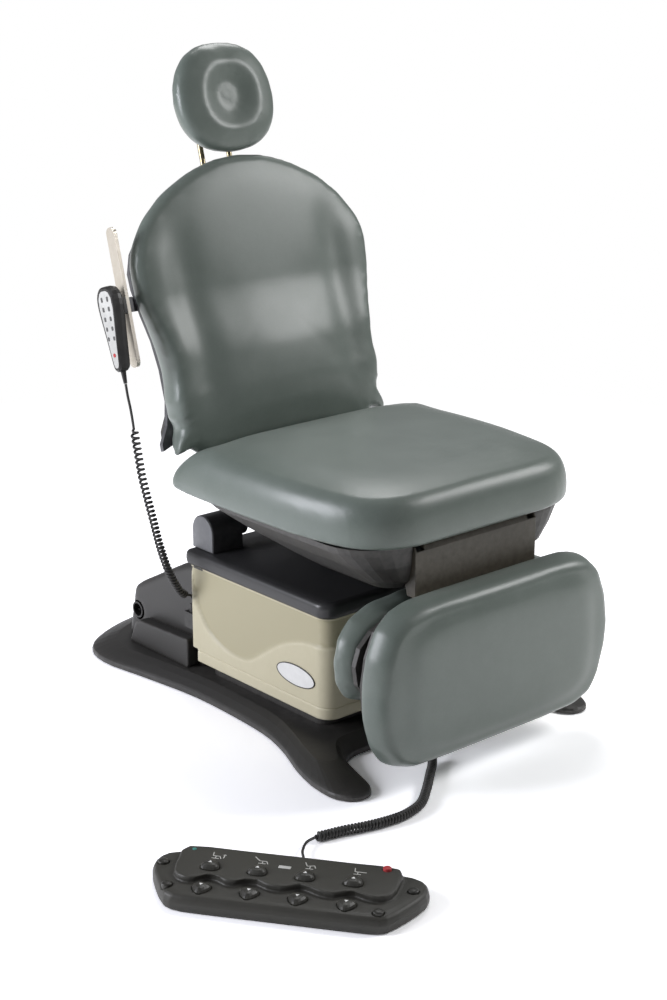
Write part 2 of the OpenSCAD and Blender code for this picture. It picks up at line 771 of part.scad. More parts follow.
// Outer shroud: its lower field stands out below a wavy step
module shroud_plan(inset) {
    translate([0, shroud_y])
        polygon(rounded_box(shroud_w / 2 - inset, shroud_d / 2 - inset, shroud_r - inset, 8));
}
module carriage_shroud() {
    color("#c9c2a6")
        difference() {
            union() {
                translate([0, 0, shroud_z])
                    linear_extrude(shroud_h)
                        shroud_plan(field_step);
                intersection() {
                    translate([0, 0, shroud_z])
                        linear_extrude(shroud_h)
                            shroud_plan(0);
                    side_plate(0, shroud_w, concat(
                        [for (s = wave_shares) [shroud_front + s.x * shroud_d,
                            shroud_z + s.y * shroud_h]],
                        [[shroud_front - over, shroud_z + wave_shares[len(wave_shares) - 1].y
                            * shroud_h], [shroud_front - over, shroud_z - over],
                            [shroud_rear + over, shroud_z - over],
                            [shroud_rear + over, shroud_z + wave_shares[0].y * shroud_h]]));
                }
            }
            translate([0, 0, shroud_z - over])
                linear_extrude(shroud_h + over * 2)
                    shroud_plan(shroud_wall);
            block(0, shroud_rear - notch_l, shroud_z - over, shroud_w + over, notch_l + over,
                notch_h + over);
        }
}
module badge_plate() {
    color("gainsboro")
        translate([-shroud_w / 2, badge_y, badge_z])
            rotate([90, 0, -90])
                linear_extrude(badge_t)
                    polygon([for (a = [0 : 10 : 350])
                        [badge_w / 2 * cos(a), badge_h / 2 * sin(a)]]);
}

// Tray with a rounded rim that closes the shroud
module carriage_tray() {
    color("#2c2b2b")
        translate([0, shroud_y - tray_lip / 2, shroud_top])
            loft([for (s = tray_shares)
                [for (p = rounded_box(shroud_w / 2 + tray_lip - s.y * tray_lip,
                        (shroud_d + tray_lip) / 2 - s.y * tray_lip, shroud_r - s.y * tray_lip, 6))
                    [p.x, p.y, s.x * tray_h]]]);
}

// Pair of D-shaped housings on the tray, bored for the tilt shaft
module pivot_housings() {
    color("#6b6d70")
        for (side = [-1, 1])
            translate([side * (pivot_in + pivot_l / 2), 0, 0])
                difference() {
                    union() {
                        cross_pin(0, tilt_y, tilt_z, pivot_d, pivot_l);
                        block(0, tilt_y - pivot_d / 2, tray_top, pivot_l, pivot_d, tilt_z - tray_top);
                    }
                    cross_pin(-side * pivot_end, tilt_y, tilt_z, tilt_shaft_d + fit * 2, pivot_l);
                }
}
module tilt_shaft() {
    color("silver")
        cross_pin(0, tilt_y, tilt_z, tilt_shaft_d, (pivot_in + pivot_l - pivot_end - slip) * 2);
}

// Actuator parts: a bored barrel with two mounts, and a rod with a slotted end block
module barrel(x, z, mount_z) {
    difference() {
        union() {
            translate([x, barrel_rear, z])
                rotate([90, 0, 0])
                    cylinder(h = barrel_rear - barrel_front, d = barrel_d, $fn = 48);
            for (y = [barrel_front + mount_in, barrel_rear - mount_in - tube])
                block(x, y, min(z, mount_z), barrel_d, tube, abs(z - mount_z));
        }
        translate([x, barrel_rear + over, z])
            rotate([90, 0, 0])
                cylinder(h = barrel_rear - barrel_front + over * 2, d = rod_shaft_d + fit * 2,
                    $fn = 48);
    }
}
module rod_with_yoke(x, z, y_tail, y_pin, pin_low, pin_high) {
    ahead = y_pin > y_tail ? 1 : -1;
    slot = lever_pin_d / 2 + yoke_play;
    y_head = y_pin - ahead * slot;
    translate([x, max(y_tail, y_head), z])
        rotate([90, 0, 0])
            cylinder(h = abs(y_head - y_tail), d = rod_shaft_d, $fn = 48);
    difference() {
        block(x, y_pin - yoke_l / 2, pin_low - slot - yoke_wall, yoke_w, yoke_l,
            pin_high - pin_low + (slot + yoke_wall) * 2);
        block(x, y_pin - slot, pin_low - slot, yoke_w + over, slot * 2,
            pin_high - pin_low + slot * 2);
    }
}
// Two lever cheeks with their pin, from a hub to the pin
module lever(x, y, z, y_pin, z_pin, hub_d) {
    for (side = [-1, 1])
        translate([side * (yoke_w / 2 + cheek_gap + lever_t / 2), 0, 0])
            hull() {
                cross_pin(x, y, z, hub_d, lever_t, 32);
                cross_pin(x, y_pin, z_pin, lever_pin_d + yoke_wall * 2, lever_t, 32);
            }
    cross_pin(x, y_pin, z_pin, lever_pin_d, yoke_w + (cheek_gap + lever_t) * 2);
}
module tilt_actuator() {
    color("dimgray") barrel(0, tilt_rod_z, tray_top);
}
module tilt_rod() {
    color("silver")
        rod_with_yoke(0, tilt_rod_z, rod_tail, tilt_pin_y, tilt_pin_z, tilt_rod_z);
}

// Socket for the hand cord on the rear of the shroud
module hand_cord_socket() {
    color("#1f1e1d") {
        block(hand_socket_x, shroud_rear, hand_socket_z - socket_h, socket_w, socket_d, socket_h);
        translate([hand_socket_x, shroud_rear + socket_d / 2, hand_socket_z])
            cylinder(h = collar_l, d1 = collar_d, d2 = collar_tip_d, $fn = 32);
    }
}

// Seat frame: top sheet, tubes, tilt arms, hinge lugs and tilt lever
module seat_frame() {
    color("#3a3a3c")
        difference() {
            union() {
                block(0, tube_front + sheet_in, tube_top, sheet_w, sheet_l, sheet_t);
                for (side = [-1, 1]) {
                    block(side * frame_x, tube_front, tube_z, tube, tube_rear - tube_front, tube);
                    side_plate(side * tilt_x, arm_t, [[cross_y, tube_z],
                        [tilt_y - pivot_d / 4, tilt_z], [tilt_y + pivot_d / 4, tilt_z],
                        [tube_rear, tube_z]]);
                    cross_pin(side * tilt_x, tilt_y, tilt_z, tilt_shaft_d + hub_wall * 2, arm_t);
                    side_plate(side * pin_x, lug_t, [[leg_y, leg_z - lug_r],
                        [tube_front + lug_run, tube_z], [tube_front + lug_run, tube_top],
                        [tube_front, leg_z + lug_r + over], [leg_y, leg_z + lug_r]]);
                    cross_pin(side * pin_x, leg_y, leg_z, lug_r * 2, lug_t);
                    side_plate(side * back_pin_x, lug_t, [[cross_y, tube_z], [cross_y, tube_top],
                        [cross_y + tube, tube_top], [back_y, back_z + lug_r / 2],
                        [back_y, back_z - lug_r]]);
                    cross_pin(side * back_pin_x, back_y, back_z, lug_r * 2, lug_t);
                }
                block(0, tube_front + tube * 2, tube_z, frame_x * 2 + tube, tube, tube);
                block(0, cross_y, tube_z, back_pin_x * 2 + lug_t, tube, tube);
                lever(0, cross_y + tube / 2, tube_z + lug_r, tilt_pin_y, tilt_pin_z, lug_r * 2);
            }
            for (side = [-1, 1]) {
                cross_pin(side * tilt_x, tilt_y, tilt_z, tilt_shaft_d + fit * 2, arm_t + over);
                cross_pin(side * pin_x, leg_y, leg_z, pin_d + fit * 2, lug_t + over);
                cross_pin(side * back_pin_x, back_y, back_z, pin_d + fit * 2, lug_t + over);
            }
        }
}

// Shell under the seat, open where the lift, the frame and the leg hinge reach in
module shell_form(inset) {
    low = seat_z - slip - shell_h + inset;
    loft([for (s = shell_shares)
        let (front = seat_front + s.y * seat_l + inset, rear = seat_front + s.z * seat_l - inset,
            r = s[4] * seat_w / 2 - inset)
        [for (p = rounded_box(s.x * seat_w / 2 - inset, (rear - front) / 2, r, 6))
            [p.x, p.y + (front + rear) / 2, low + s[3] * (shell_h - inset)
                + (s[3] == 1 && inset > 0 ? over : 0)]]]);
}
module seat_shell() {
    low = seat_z - slip - shell_h - over;
    color("#2f2b29")
        difference() {
            shell_form(0);
            shell_form(shell_wall);
            block(0, barrel_front - tube, low, shell_slot_w, seat_l, shell_h - sheet_t);
            block(0, shell_rear_cut, low, back_pin_x * 2 + lug_t * 2, seat_l, shell_h + over * 2);
            block(0, leg_y - seat_l, low, cover_w + cover_gap * 2, seat_l + tube_front - leg_y + tube,
                shell_h + over * 2);
        }
}
module seat_pad() {
    color("#6c7772")
        translate([0, seat_y, seat_z])
            cushion(seat_shares, seat_w / 2, seat_l / 2, seat_t, 2, edge_shares,
                function (x, y) seat_crown * (1 - x * x * x * x) * (1 - y * y * rim_share)
                    - rear_drop * pow(max(0, 1 - (1 - y) * seat_l / 2 / rear_run), 2));
}

// Back and leg actuators hung under the seat sheet, and their rods
module seat_actuators() {
    color("dimgray")
        for (side = [-1, 1])
            barrel(side * side_x, actuator_z, tube_top);
}
module back_rod() {
    color("silver")
        rod_with_yoke(side_x, actuator_z, rod_tail, back_pin_y, back_z - back_lever, back_pin_z);
}
module leg_rod() {
    color("silver")
        rod_with_yoke(-side_x, actuator_z, barrel_rear - tube, leg_pin_y, leg_z - leg_lever,
            leg_pin_z);
}

// Four equal hinge pins: two carry the leg section, two the back
module hinge_pins() {
    color("silver")
        for (side = [-1, 1]) {
            cross_pin(side * (pin_x - pin_in), leg_y, leg_z, pin_d, pin_l);
            cross_pin(side * (back_pin_x - pin_in), back_y, back_z, pin_d, pin_l);
        }
}

// Back frame: torque tube, uprights, sheet, cross bars, rod sockets, lever and rail arm
module along_back(x, v, w, l, d) {
    translate([x, v, w])
        rotate([-90, 0, 0])
            cylinder(h = l, d = d, $fn = 40);
}
module back_frame() {
    tube_l = (back_pin_x - lug_t / 2 - slip * 2) * 2;
    color("#3a3a3c")
        difference() {
            union() {
                cross_pin(0, back_y, back_z, torque_d, tube_l);
                on_back() {
                    translate([0, back_mid, -board_t])
                        linear_extrude(board_t - pad_gap)
                            polygon(sized(both_sides(back_shares), back_w / 2 - board_inset,
                                back_l / 2 - board_inset));
                    for (side = [-1, 1]) {
                        translate([side * frame_x - upright_w / 2, -lug_r / 2, upright_face])
                            cube([upright_w, upright_l + lug_r / 2, upright_t + weld]);
                        along_back(side * rod_gap / 2, socket_low, rod_w, socket_top - socket_low,
                            rod_d + socket_wall * 2);
                    }
                    for (share = cross_bar_shares)
                        translate([-frame_x, share * back_l, upright_face])
                            cube([frame_x * 2, upright_w, upright_t]);
                    translate([rail_x + rail_t, arm_v - arm_h / 2, upright_face])
                        cube([-frame_x - rail_x - rail_t, arm_h, upright_t]);
                    translate([rail_x + rail_t, arm_v - arm_h / 2, upright_face])
                        cube([rail_t, arm_h, rail_w_axis - upright_face + rail_w / 2]);
                }
                lever(side_x, back_y, back_z, back_pin_y, back_pin_z, torque_d);
            }
            for (side = [-1, 1]) {
                cross_pin(side * tube_l / 2, back_y, back_z, pin_d + fit * 2, pin_l);
                on_back()
                    along_back(side * rod_gap / 2, socket_low - over, rod_w,
                        socket_top - socket_low + over * 2, rod_d + fit * 2);
            }
        }
}
module back_pad() {
    color("#6c7772")
        on_back()
            translate([0, back_mid, 0])
                cushion(back_shares, back_w / 2, back_l / 2, back_t, 1, bun_shares,
                    function (x, y) back_crown * (1 - x * x * 0.3) * (1 - y * y * 0.4)
                        + lumbar_rise * exp(-pow((y + 0.5) / 0.22, 2)) * exp(-pow(x / 0.45, 2))
                        - valley_depth * exp(-pow((abs(x) - 0.5) / 0.14, 2))
                            * exp(-pow((y + 0.25) / 0.5, 2)));
}

// Rear cover of the back, open for the uprights, the rods and the rail arm
module back_cover_form(inset) {
    translate([0, back_mid, -board_t - pad_gap - cover_h + inset])
        loft([for (s = back_cover_shares)
            [for (p = outline(back_shares, back_w / 2 - cover_inset - s.y * cover_h - inset,
                    back_l / 2 - cover_inset - s.y * cover_h - inset, 1))
                [p.x, p.y, s.x * (cover_h - inset) + (s.x == 1 && inset > 0 ? over : 0)]]]);
}
module back_cover() {
    color("#2e2c2b")
        on_back()
            difference() {
                back_cover_form(0);
                back_cover_form(shell_wall);
                for (side = [-1, 1]) {
                    along_back(side * rod_gap / 2, socket_low, rod_w, back_l,
                        rod_d + (socket_wall + slip) * 2);
                    translate([side * frame_x - upright_w / 2 - slip, 0, upright_face - slip])
                        cube([upright_w + slip * 2, back_low + back_l / 4, upright_t + over * 2]);
                }
                translate([rail_x, arm_v - arm_h / 2 - slip, upright_face - slip])
                    cube([-frame_x - rail_x, arm_h + slip * 2, upright_t + over * 2]);
            }
}

// Rail on its arm beside the back, and the holder clamped on it
module accessory_rail() {
    color("lightgray")
        on_back()
            translate([rail_x, rail_v, rail_w_axis])
                rotate([0, 90, 0])
                    linear_extrude(rail_t) {
                        square([rail_w, rail_l - rail_w], center = true);
                        for (side = [-1, 1])
                            translate([0, side * (rail_l - rail_w) / 2])
                                circle(d = rail_w, $fn = 32);
                    }
}
module control_holder() {
    color("#1d1c1b")
        on_back()
            translate([0, arm_v, rail_w_axis])
                difference() {
                    translate([hand_back + slip, -holder_h / 2, -holder_w / 2])
                        cube([rail_x - hand_back - slip, holder_h, holder_w]);
                    translate([hand_back, -holder_h / 2 + holder_floor, 0]) {
                        translate([0, 0, -peg_d / 2 - slip])
                            cube([peg_l + slip, holder_h, peg_d + slip * 2]);
                        translate([peg_l - peg_head_t - slip, 0, -peg_head_d / 2 - slip])
                            cube([peg_head_t + slip * 2, holder_h, peg_head_d + slip * 2]);
                    }
                }
}

// Hand control: shell with hook peg and cord relief, and its keypad
module hand_control_shell() {
    color("#1d1c1b")
        on_back() {
            difference() {
                translate([hand_back, hand_v, rail_w_axis])
                    rotate([0, -90, 0])
                        loft([for (s = hand_round_shares)
                            [for (p = outline(hand_shares, hand_w / 2 - s.y * hand_t,
                                    hand_l / 2 - s.y * hand_t, 2))
                                [p.x, p.y, s.x * hand_t]]]);
                key_form(over, slip);
            }
            translate([hand_back - over, arm_v - holder_h / 2 + holder_floor + peg_head_d / 2 + slip,
                rail_w_axis])
                rotate([0, 90, 0]) {
                    cylinder(h = peg_l + over, d = peg_d, $fn = 32);
                    translate([0, 0, peg_l + over - peg_head_t])
                        cylinder(h = peg_head_t, d = peg_head_d, $fn = 32);
                }
            translate([hand_back - hand_t / 2, hand_v - hand_l / 2 - relief_l, rail_w_axis])
                rotate([-90, 0, 0])
                    cylinder(h = relief_l + hand_wall * 2, d1 = relief_tip_d, d2 = relief_d, $fn = 32);
        }
}
module key_form(above, clear) {
    translate([hand_back - hand_t + key_t, hand_v, rail_w_axis])
        rotate([0, -90, 0])
            linear_extrude(key_t + above)
                polygon(sized(both_sides(hand_shares), hand_w / 2 - key_rim + clear,
                    hand_l / 2 - key_rim + clear));
}
module hand_control_keypad() {
    color("gainsboro")
        on_back()
            key_form(0, 0);
}

// Headrest: two rods welded to a plate, and the dished cushion
module headrest_rods() {
    color("silver")
        on_back() {
            for (side = [-1, 1])
                along_back(side * rod_gap / 2, rod_low, rod_w, head_v - rod_low, rod_d);
            translate([-head_plate / 2, head_v - head_plate / 2, rod_w])
                cube([head_plate, head_plate, rod_d / 2 + head_plate_t]);
        }
}
module headrest_pad() {
    color("#6c7772")
        on_back()
            translate([0, head_v, rod_w + rod_d / 2 + head_plate_t + slip])
                cushion(head_shares, head_w / 2, head_h / 2, head_t, 1, bun_shares,
                    function (x, y) leg_crown * (1 - x * x) * (1 - y * y)
                        - dish_depth * exp(-(pow(x / 0.34, 2) + pow(y / 0.42, 2))));
}

// Leg section: hinge cover, frame, boards and cushions
module leg_hinge_cover() {
    face_y = leg_board_rear - cover_t;
    side = [[face_y, cover_low], [face_y, cover_top_z - cover_bevel],
        [face_y + cover_bevel / 2, cover_top_z], [leg_y + cover_reach, cover_top_z],
        [leg_y + cover_reach, leg_z - lug_r], [leg_y, cover_low]];
    color("#3a3630")
        difference() {
            union() {
                side_plate(0, cover_w, [side[0], side[1], [face_y + cover_t, side[1].y],
                    [face_y + cover_t, cover_low]]);
                side_plate(0, cover_strip_w, [side[1], side[2], [leg_y - lug_r / 2, cover_top_z],
                    [leg_y - lug_r / 2, cover_top_z - cover_t], [face_y + cover_t, side[1].y]]);
                for (x = [-1, 1])
                    side_plate(x * (cover_w - cover_t) / 2, cover_t, side);
            }
            cross_pin(0, leg_y, leg_z, pin_d + fit * 2, cover_w + over);
        }
}
module leg_frame() {
    tube_l = (pin_x - lug_t / 2 - slip * 2) * 2;
    color("#3a3a3c")
        difference() {
            union() {
                cross_pin(0, leg_y, leg_z, torque_d, tube_l);
                for (side = [-1, 1])
                    block(side * bar_x, leg_board_rear, leg_low + bar_w, bar_w, bar_t,
                        leg_z - leg_low - bar_w);
                block(0, leg_board_rear, leg_low + bar_w * 2, bar_x * 2 + bar_w, bar_t, bar_w);
                lever(-side_x, leg_y, leg_z, leg_pin_y, leg_pin_z, torque_d);
            }
            for (side = [-1, 1])
                cross_pin(side * tube_l / 2, leg_y, leg_z, pin_d + fit * 2, pin_l);
        }
}
module leg_sheet(shares, h, y, z, t) {
    translate([0, y + t, z + h / 2])
        rotate([90, 0, 0])
            linear_extrude(t)
                polygon(sized(both_sides(shares), leg_w / 2 - leg_inset, h / 2 - leg_inset));
}
module leg_board() {
    color("#262423")
        difference() {
            leg_sheet(leg_shares, leg_h, leg_rear + slip, leg_low, leg_board_t - slip);
            block(0, leg_rear, cover_low - cover_gap, cover_w + cover_gap * 2, leg_board_t + over,
                leg_h);
        }
}
module leg_pad() {
    color("#6c7772")
        translate([0, leg_rear, leg_low + leg_h / 2])
            rotate([90, 0, 0])
                cushion(leg_shares, leg_w / 2, leg_h / 2, leg_t, 1, edge_shares,
                    function (x, y) leg_crown * (1 - x * x) * (1 - y * y));
}
module footrest_board() {
    color("#262423")
        leg_sheet(footrest_shares, footrest_h, bar_rear, footrest_low, foot_board_t);
}
module footrest_pad() {
    color("#6c7772")
        translate([0, foot_board_rear + slip, footrest_low + footrest_h / 2])
            rotate([90, 0, 180])
                cushion(footrest_shares, footrest_w / 2, footrest_h / 2, footrest_t, 1, bun_shares,
                    function (x, y) leg_crown * (1 - x * x) * (1 - y * y));
}

// Foot control on the floor: base, switch board and two-tier shell
module pedal_plan(inset) {
    polygon(sized(both_sides(pedal_shares), pedal_w / 2 - inset, pedal_d / 2 - inset));
}
module foot_control_base() {
    color("#242321")
        on_pedal() {
            linear_extrude(pedal_base_t)
                pedal_plan(pedal_wall + slip);
            for (x = [-1, 1])
                for (y = [-1, 1])
                    translate([x * post_x, y * post_y, pedal_base_t])
                        cylinder(h = pcb_z - pedal_base_t, d = memory_d / 2, $fn = 24);
        }
}
module foot_control_board() {
    color("darkgreen")
        on_pedal()
            translate([0, 0, pcb_z])
                linear_extrude(pcb_t)
                    pedal_plan(pedal_wall * 3);
}
module button_holes(grow) {
    for (i = [0 : 3]) {
        translate([button_first + i * button_pitch, upper_row_y])
            polygon(button_outline(button_r + grow));
        translate([button_first + i * button_pitch, lower_row_y])
            rotate(180)
                polygon(button_outline(button_r + grow));
    }
}
module foot_control_shell() {
    color("#2f2e2a")
        on_pedal()
            difference() {
                union() {
                    loft([for (s = pedal_round_shares)
                        [for (p = outline(pedal_shares, pedal_w / 2 - s.y * pedal_round,
                                pedal_d / 2 - s.y * pedal_round, 2))
                            [p.x, p.y, s.x * pedal_h]]]);
                    loft([for (s = tier_round_shares)
                        [for (p = smooth_loop(sized(tier_shares, pedal_w / 2 - s.y * tier_h,
                                pedal_d / 2 - s.y * tier_h), 2))
                            [p.x, p.y, pedal_h + s.x * tier_h]]]);
                    translate([cord_exit_x, pedal_d / 2 - pedal_wall * 2, pedal_cord_z])
                        rotate([-90, 0, 0])
                            cylinder(h = pedal_wall * 2 + pedal_relief_l, d1 = relief_d + slip,
                                d2 = relief_tip_d, $fn = 32);
                }
                translate([0, 0, -over])
                    linear_extrude(pedal_h / 2 + over)
                        pedal_plan(pedal_wall);
                linear_extrude(pedal_h - pedal_wall)
                    pedal_plan(pedal_wall + pedal_round);
                linear_extrude(tier_z + over)
                    button_holes(slip);
                translate([stop_shares.x * pedal_w / 2, stop_shares.y * pedal_d / 2, 0])
                    cylinder(h = tier_z + over, d = stop_d + slip * 2, $fn = 32);
                for (p = memory_shares)
                    translate([p.x * pedal_w / 2, p.y * pedal_d / 2, 0])
                        cylinder(h = tier_z + over, d = memory_d + slip * 2, $fn = 32);
            }
}

// Buttons: eight pointed domes, one round stop button and four memory buttons
module arrow_button(i, upper) {
    foot = pcb_z + pcb_t + button_travel + slip;
    top = (upper ? tier_z : pedal_h) + button_rise;
    color("#262521")
        on_pedal()
            translate([button_first + i * button_pitch, upper ? upper_row_y : lower_row_y, 0])
                rotate([0, 0, upper ? 0 : 180])
                    loft([for (s = dome_shares)
                        [for (p = button_outline(button_r))
                            [p.x * s.y, p.y * s.y, s.x == 0 ? foot : top - (1 - s.x) * button_rise]]]);
}
module button_base_up() { arrow_button(0, true); }
module button_back_up() { arrow_button(1, true); }
module button_tilt_up() { arrow_button(2, true); }
module button_leg_up() { arrow_button(3, true); }
module button_base_down() { arrow_button(0, false); }
module button_back_down() { arrow_button(1, false); }
module button_tilt_down() { arrow_button(2, false); }
module button_leg_down() { arrow_button(3, false); }
module round_button(place, d, top) {
    foot = pcb_z + pcb_t + button_travel + slip;
    on_pedal()
        translate([place.x * pedal_w / 2, place.y * pedal_d / 2, 0])
            rotate_extrude($fn = 40)
                polygon(concat([[0, foot], [d / 2, foot]],
                    [for (a = [0 : 15 : 90]) [d / 2 * cos(a), top - d / 6 * (1 - sin(a))]]));
}
module button_stop() {
    color("firebrick") round_button(stop_shares, stop_d, tier_z + memory_rise);
}
module memory_button_1() {
    color("#262521") round_button(memory_shares[0], memory_d, pedal_h + memory_rise);
}
module memory_button_2() {
    color("#262521") round_button(memory_shares[1], memory_d, pedal_h + memory_rise);
}
module memory_button_3() {
    color("#262521") round_button(memory_shares[2], memory_d, pedal_h + memory_rise);
}
module memory_button_4() {
    color("#262521") round_button(memory_shares[3], memory_d, pedal_h + memory_rise);
}

// Socket of the foot cord on the front of the skirt, and both cords
module foot_cord_socket() {
    color("#1f1e1d")
        translate([foot_socket_x, skirt_y - skirt_d / 2, foot_socket_z])
            rotate([90, 0, 0]) {
                cylinder(h = pedal_wall, d = socket_d, $fn = 40);
                cylinder(h = foot_socket_l, d1 = collar_d, d2 = collar_tip_d, $fn = 32);
            }
}
module hand_cord() {
    points = cord_points(HAND_TOP, HAND_COIL, HAND_END, hand_curls, (hand_coil_d - cord_d) / 2,
        [0, 1, 0]);
    echo(hand_cord_gap = least_gap(points, cord_d / 2, curl_rings - 2));
    color("#1b1a19") tube_along(points, cord_d / 2, [1, 0, 0]);
}
module foot_cord() {
    points = cord_points(FOOT_START, FOOT_COIL, FOOT_END, foot_curls, (foot_coil_d - cord_d) / 2,
        [0, 0, 1]);
    echo(foot_cord_gap = least_gap(points, cord_d / 2, curl_rings - 2));
    color("#1b1a19") tube_along(points, cord_d / 2, [0, 0, 1]);
}

base_frame();
base_cover();
lower_skirt();
rear_housing();
side_steps();
power_inlet();
column_outer();
control_box();
foot_cord_socket();
foot_cord();
foot_control_base();
foot_control_shell();
foot_control_board();
middle_shroud();
column_middle();
carriage_shroud();
badge_plate();
carriage_tray();
column_inner();
pivot_housings();
tilt_shaft();
tilt_actuator();
hand_cord_socket();
tilt_rod();
seat_frame();
seat_shell();
seat_pad();
seat_actuators();
hinge_pins();
hand_cord();
back_rod();
leg_rod();
back_frame();
back_pad();
back_cover();
accessory_rail();
control_holder();
hand_control_shell();
hand_control_keypad();
headrest_rods();
headrest_pad();
leg_hinge_cover();
leg_frame();
leg_board();
leg_pad();
footrest_board();
footrest_pad();
button_base_up();
button_back_up();
button_tilt_up();
button_leg_up();
button_base_down();
button_back_down();
button_tilt_down();
button_leg_down();
button_stop();
memory_button_1();
memory_button_2();
memory_button_3();
memory_button_4();
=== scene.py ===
"""Dresses the oral procedure chair: a telescoping base, upholstered seat, back, headrest and
leg section, a corded hand control on the side rail and a corded foot control on the floor."""

import logging
import math
from contextlib import contextmanager
from dataclasses import dataclass
from enum import Enum
from typing import Any, Callable, Iterable, Iterator, Sequence

import bmesh
import bpy
from mathutils import Matrix, Vector


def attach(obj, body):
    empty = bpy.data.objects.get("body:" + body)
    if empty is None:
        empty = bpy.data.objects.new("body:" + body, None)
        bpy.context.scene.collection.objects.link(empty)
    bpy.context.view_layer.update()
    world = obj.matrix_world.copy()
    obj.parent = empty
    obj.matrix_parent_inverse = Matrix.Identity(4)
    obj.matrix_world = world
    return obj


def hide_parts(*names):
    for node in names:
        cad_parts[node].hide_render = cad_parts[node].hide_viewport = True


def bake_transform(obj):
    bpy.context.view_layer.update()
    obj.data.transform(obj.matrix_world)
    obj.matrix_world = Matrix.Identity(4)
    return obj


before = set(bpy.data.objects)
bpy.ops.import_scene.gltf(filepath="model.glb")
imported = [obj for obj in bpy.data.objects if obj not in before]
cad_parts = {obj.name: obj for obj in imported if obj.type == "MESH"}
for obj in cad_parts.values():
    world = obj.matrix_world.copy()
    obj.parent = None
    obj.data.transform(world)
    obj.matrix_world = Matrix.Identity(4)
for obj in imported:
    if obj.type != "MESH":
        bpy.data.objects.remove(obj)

LOG = logging.getLogger("oral_procedure_chair")
MM = 0.001
MERGE = 0.00002
Point = tuple[float, float, float]
BACK_FRAME = Matrix.Translation((0, 0.108, 0.472)) @ Matrix.Rotation(math.radians(75), 4, "X")
PEDAL_FRAME = Matrix.Translation((-0.663, -0.720, 0)) @ Matrix.Rotation(math.radians(-54), 4, "Z")


class Body(str, Enum):
    """Bodies of the frame that new pieces ride on."""

    BASE = "base"
    CARRIAGE = "carriage"
    SEAT = "seat"
    BACK = "back"
    HAND_CONTROL = "hand_control"
    HEADREST = "headrest"
    LEG = "leg"


class Slot(str, Enum):
    """Material slots of the record, handed to new pieces, which don't use them."""

    BLACK = "black_moulding"
    PEDAL = "pedal_moulding"
    BEIGE = "beige_moulding"
    SOCKET = "socket_black"
    PIVOT = "pivot_grey"
    BADGE = "badge_metal"
    LABEL = "label_grey"
    VINYL = "green_vinyl"
    STOP = "stop_red"
    CORD = "cord_rubber"


def linear(code: str) -> tuple[float, float, float, float]:
    """Turns a web colour into linear light.

    Args:
        code: Six hexadecimal digits.

    Returns:
        Red, green, blue and an alpha of one.
    """
    parts = [int(code[i:i + 2], 16) / 255 for i in (0, 2, 4)]
    light = [c / 12.92 if c <= 0.04045 else ((c + 0.055) / 1.055) ** 2.4 for c in parts]
    return (light[0], light[1], light[2], 1.0)


def placed(name: str, data: Any) -> bpy.types.Object:
    """Puts object data into the scene and returns its object.

    Args:
        name: The object's name.
        data: Its mesh, curve, lamp or camera.

    Returns:
        The new object.
    """
    made = bpy.data.objects.new(name, data)
    bpy.context.scene.collection.objects.link(made)
    return made


def meshed(name: str, bm: bmesh.types.BMesh) -> bpy.types.Mesh:
    """Turns a bmesh into a new mesh and frees it.

    Args:
        name: The mesh's name.
        bm: The bmesh.

    Returns:
        The new mesh.
    """
    mesh = bpy.data.meshes.new(name)
    bm.to_mesh(mesh)
    bm.free()
    return mesh


@contextmanager
def opened(mesh: bpy.types.Mesh) -> Iterator[bmesh.types.BMesh]:
    """Opens a mesh as a bmesh and writes it back afterwards.

    Args:
        mesh: The mesh.

    Yields:
        The bmesh.
    """
    bm = bmesh.new()
    bm.from_mesh(mesh)
    yield bm
    bm.to_mesh(mesh)
    bm.free()


def settled(holder: bpy.types.Object) -> bpy.types.Mesh:
    """Removes an object and returns the mesh that its modifiers made of it.

    Args:
        holder: The object.

    Returns:
        The mesh.
    """
    bpy.context.view_layer.update()
    seen = holder.evaluated_get(bpy.context.evaluated_depsgraph_get())
    mesh = bpy.data.meshes.new_from_object(seen)
    bpy.data.objects.remove(holder)
    return mesh


def arc(radius: float, start: float, end: float, steps: int) -> list[Vector]:
    """Flat points round a circle between two angles in degrees, both ends included."""
    angles = [math.radians(start + (end - start) * k / steps) for k in range(steps + 1)]
    return [Vector((radius * math.cos(a), radius * math.sin(a))) for a in angles]


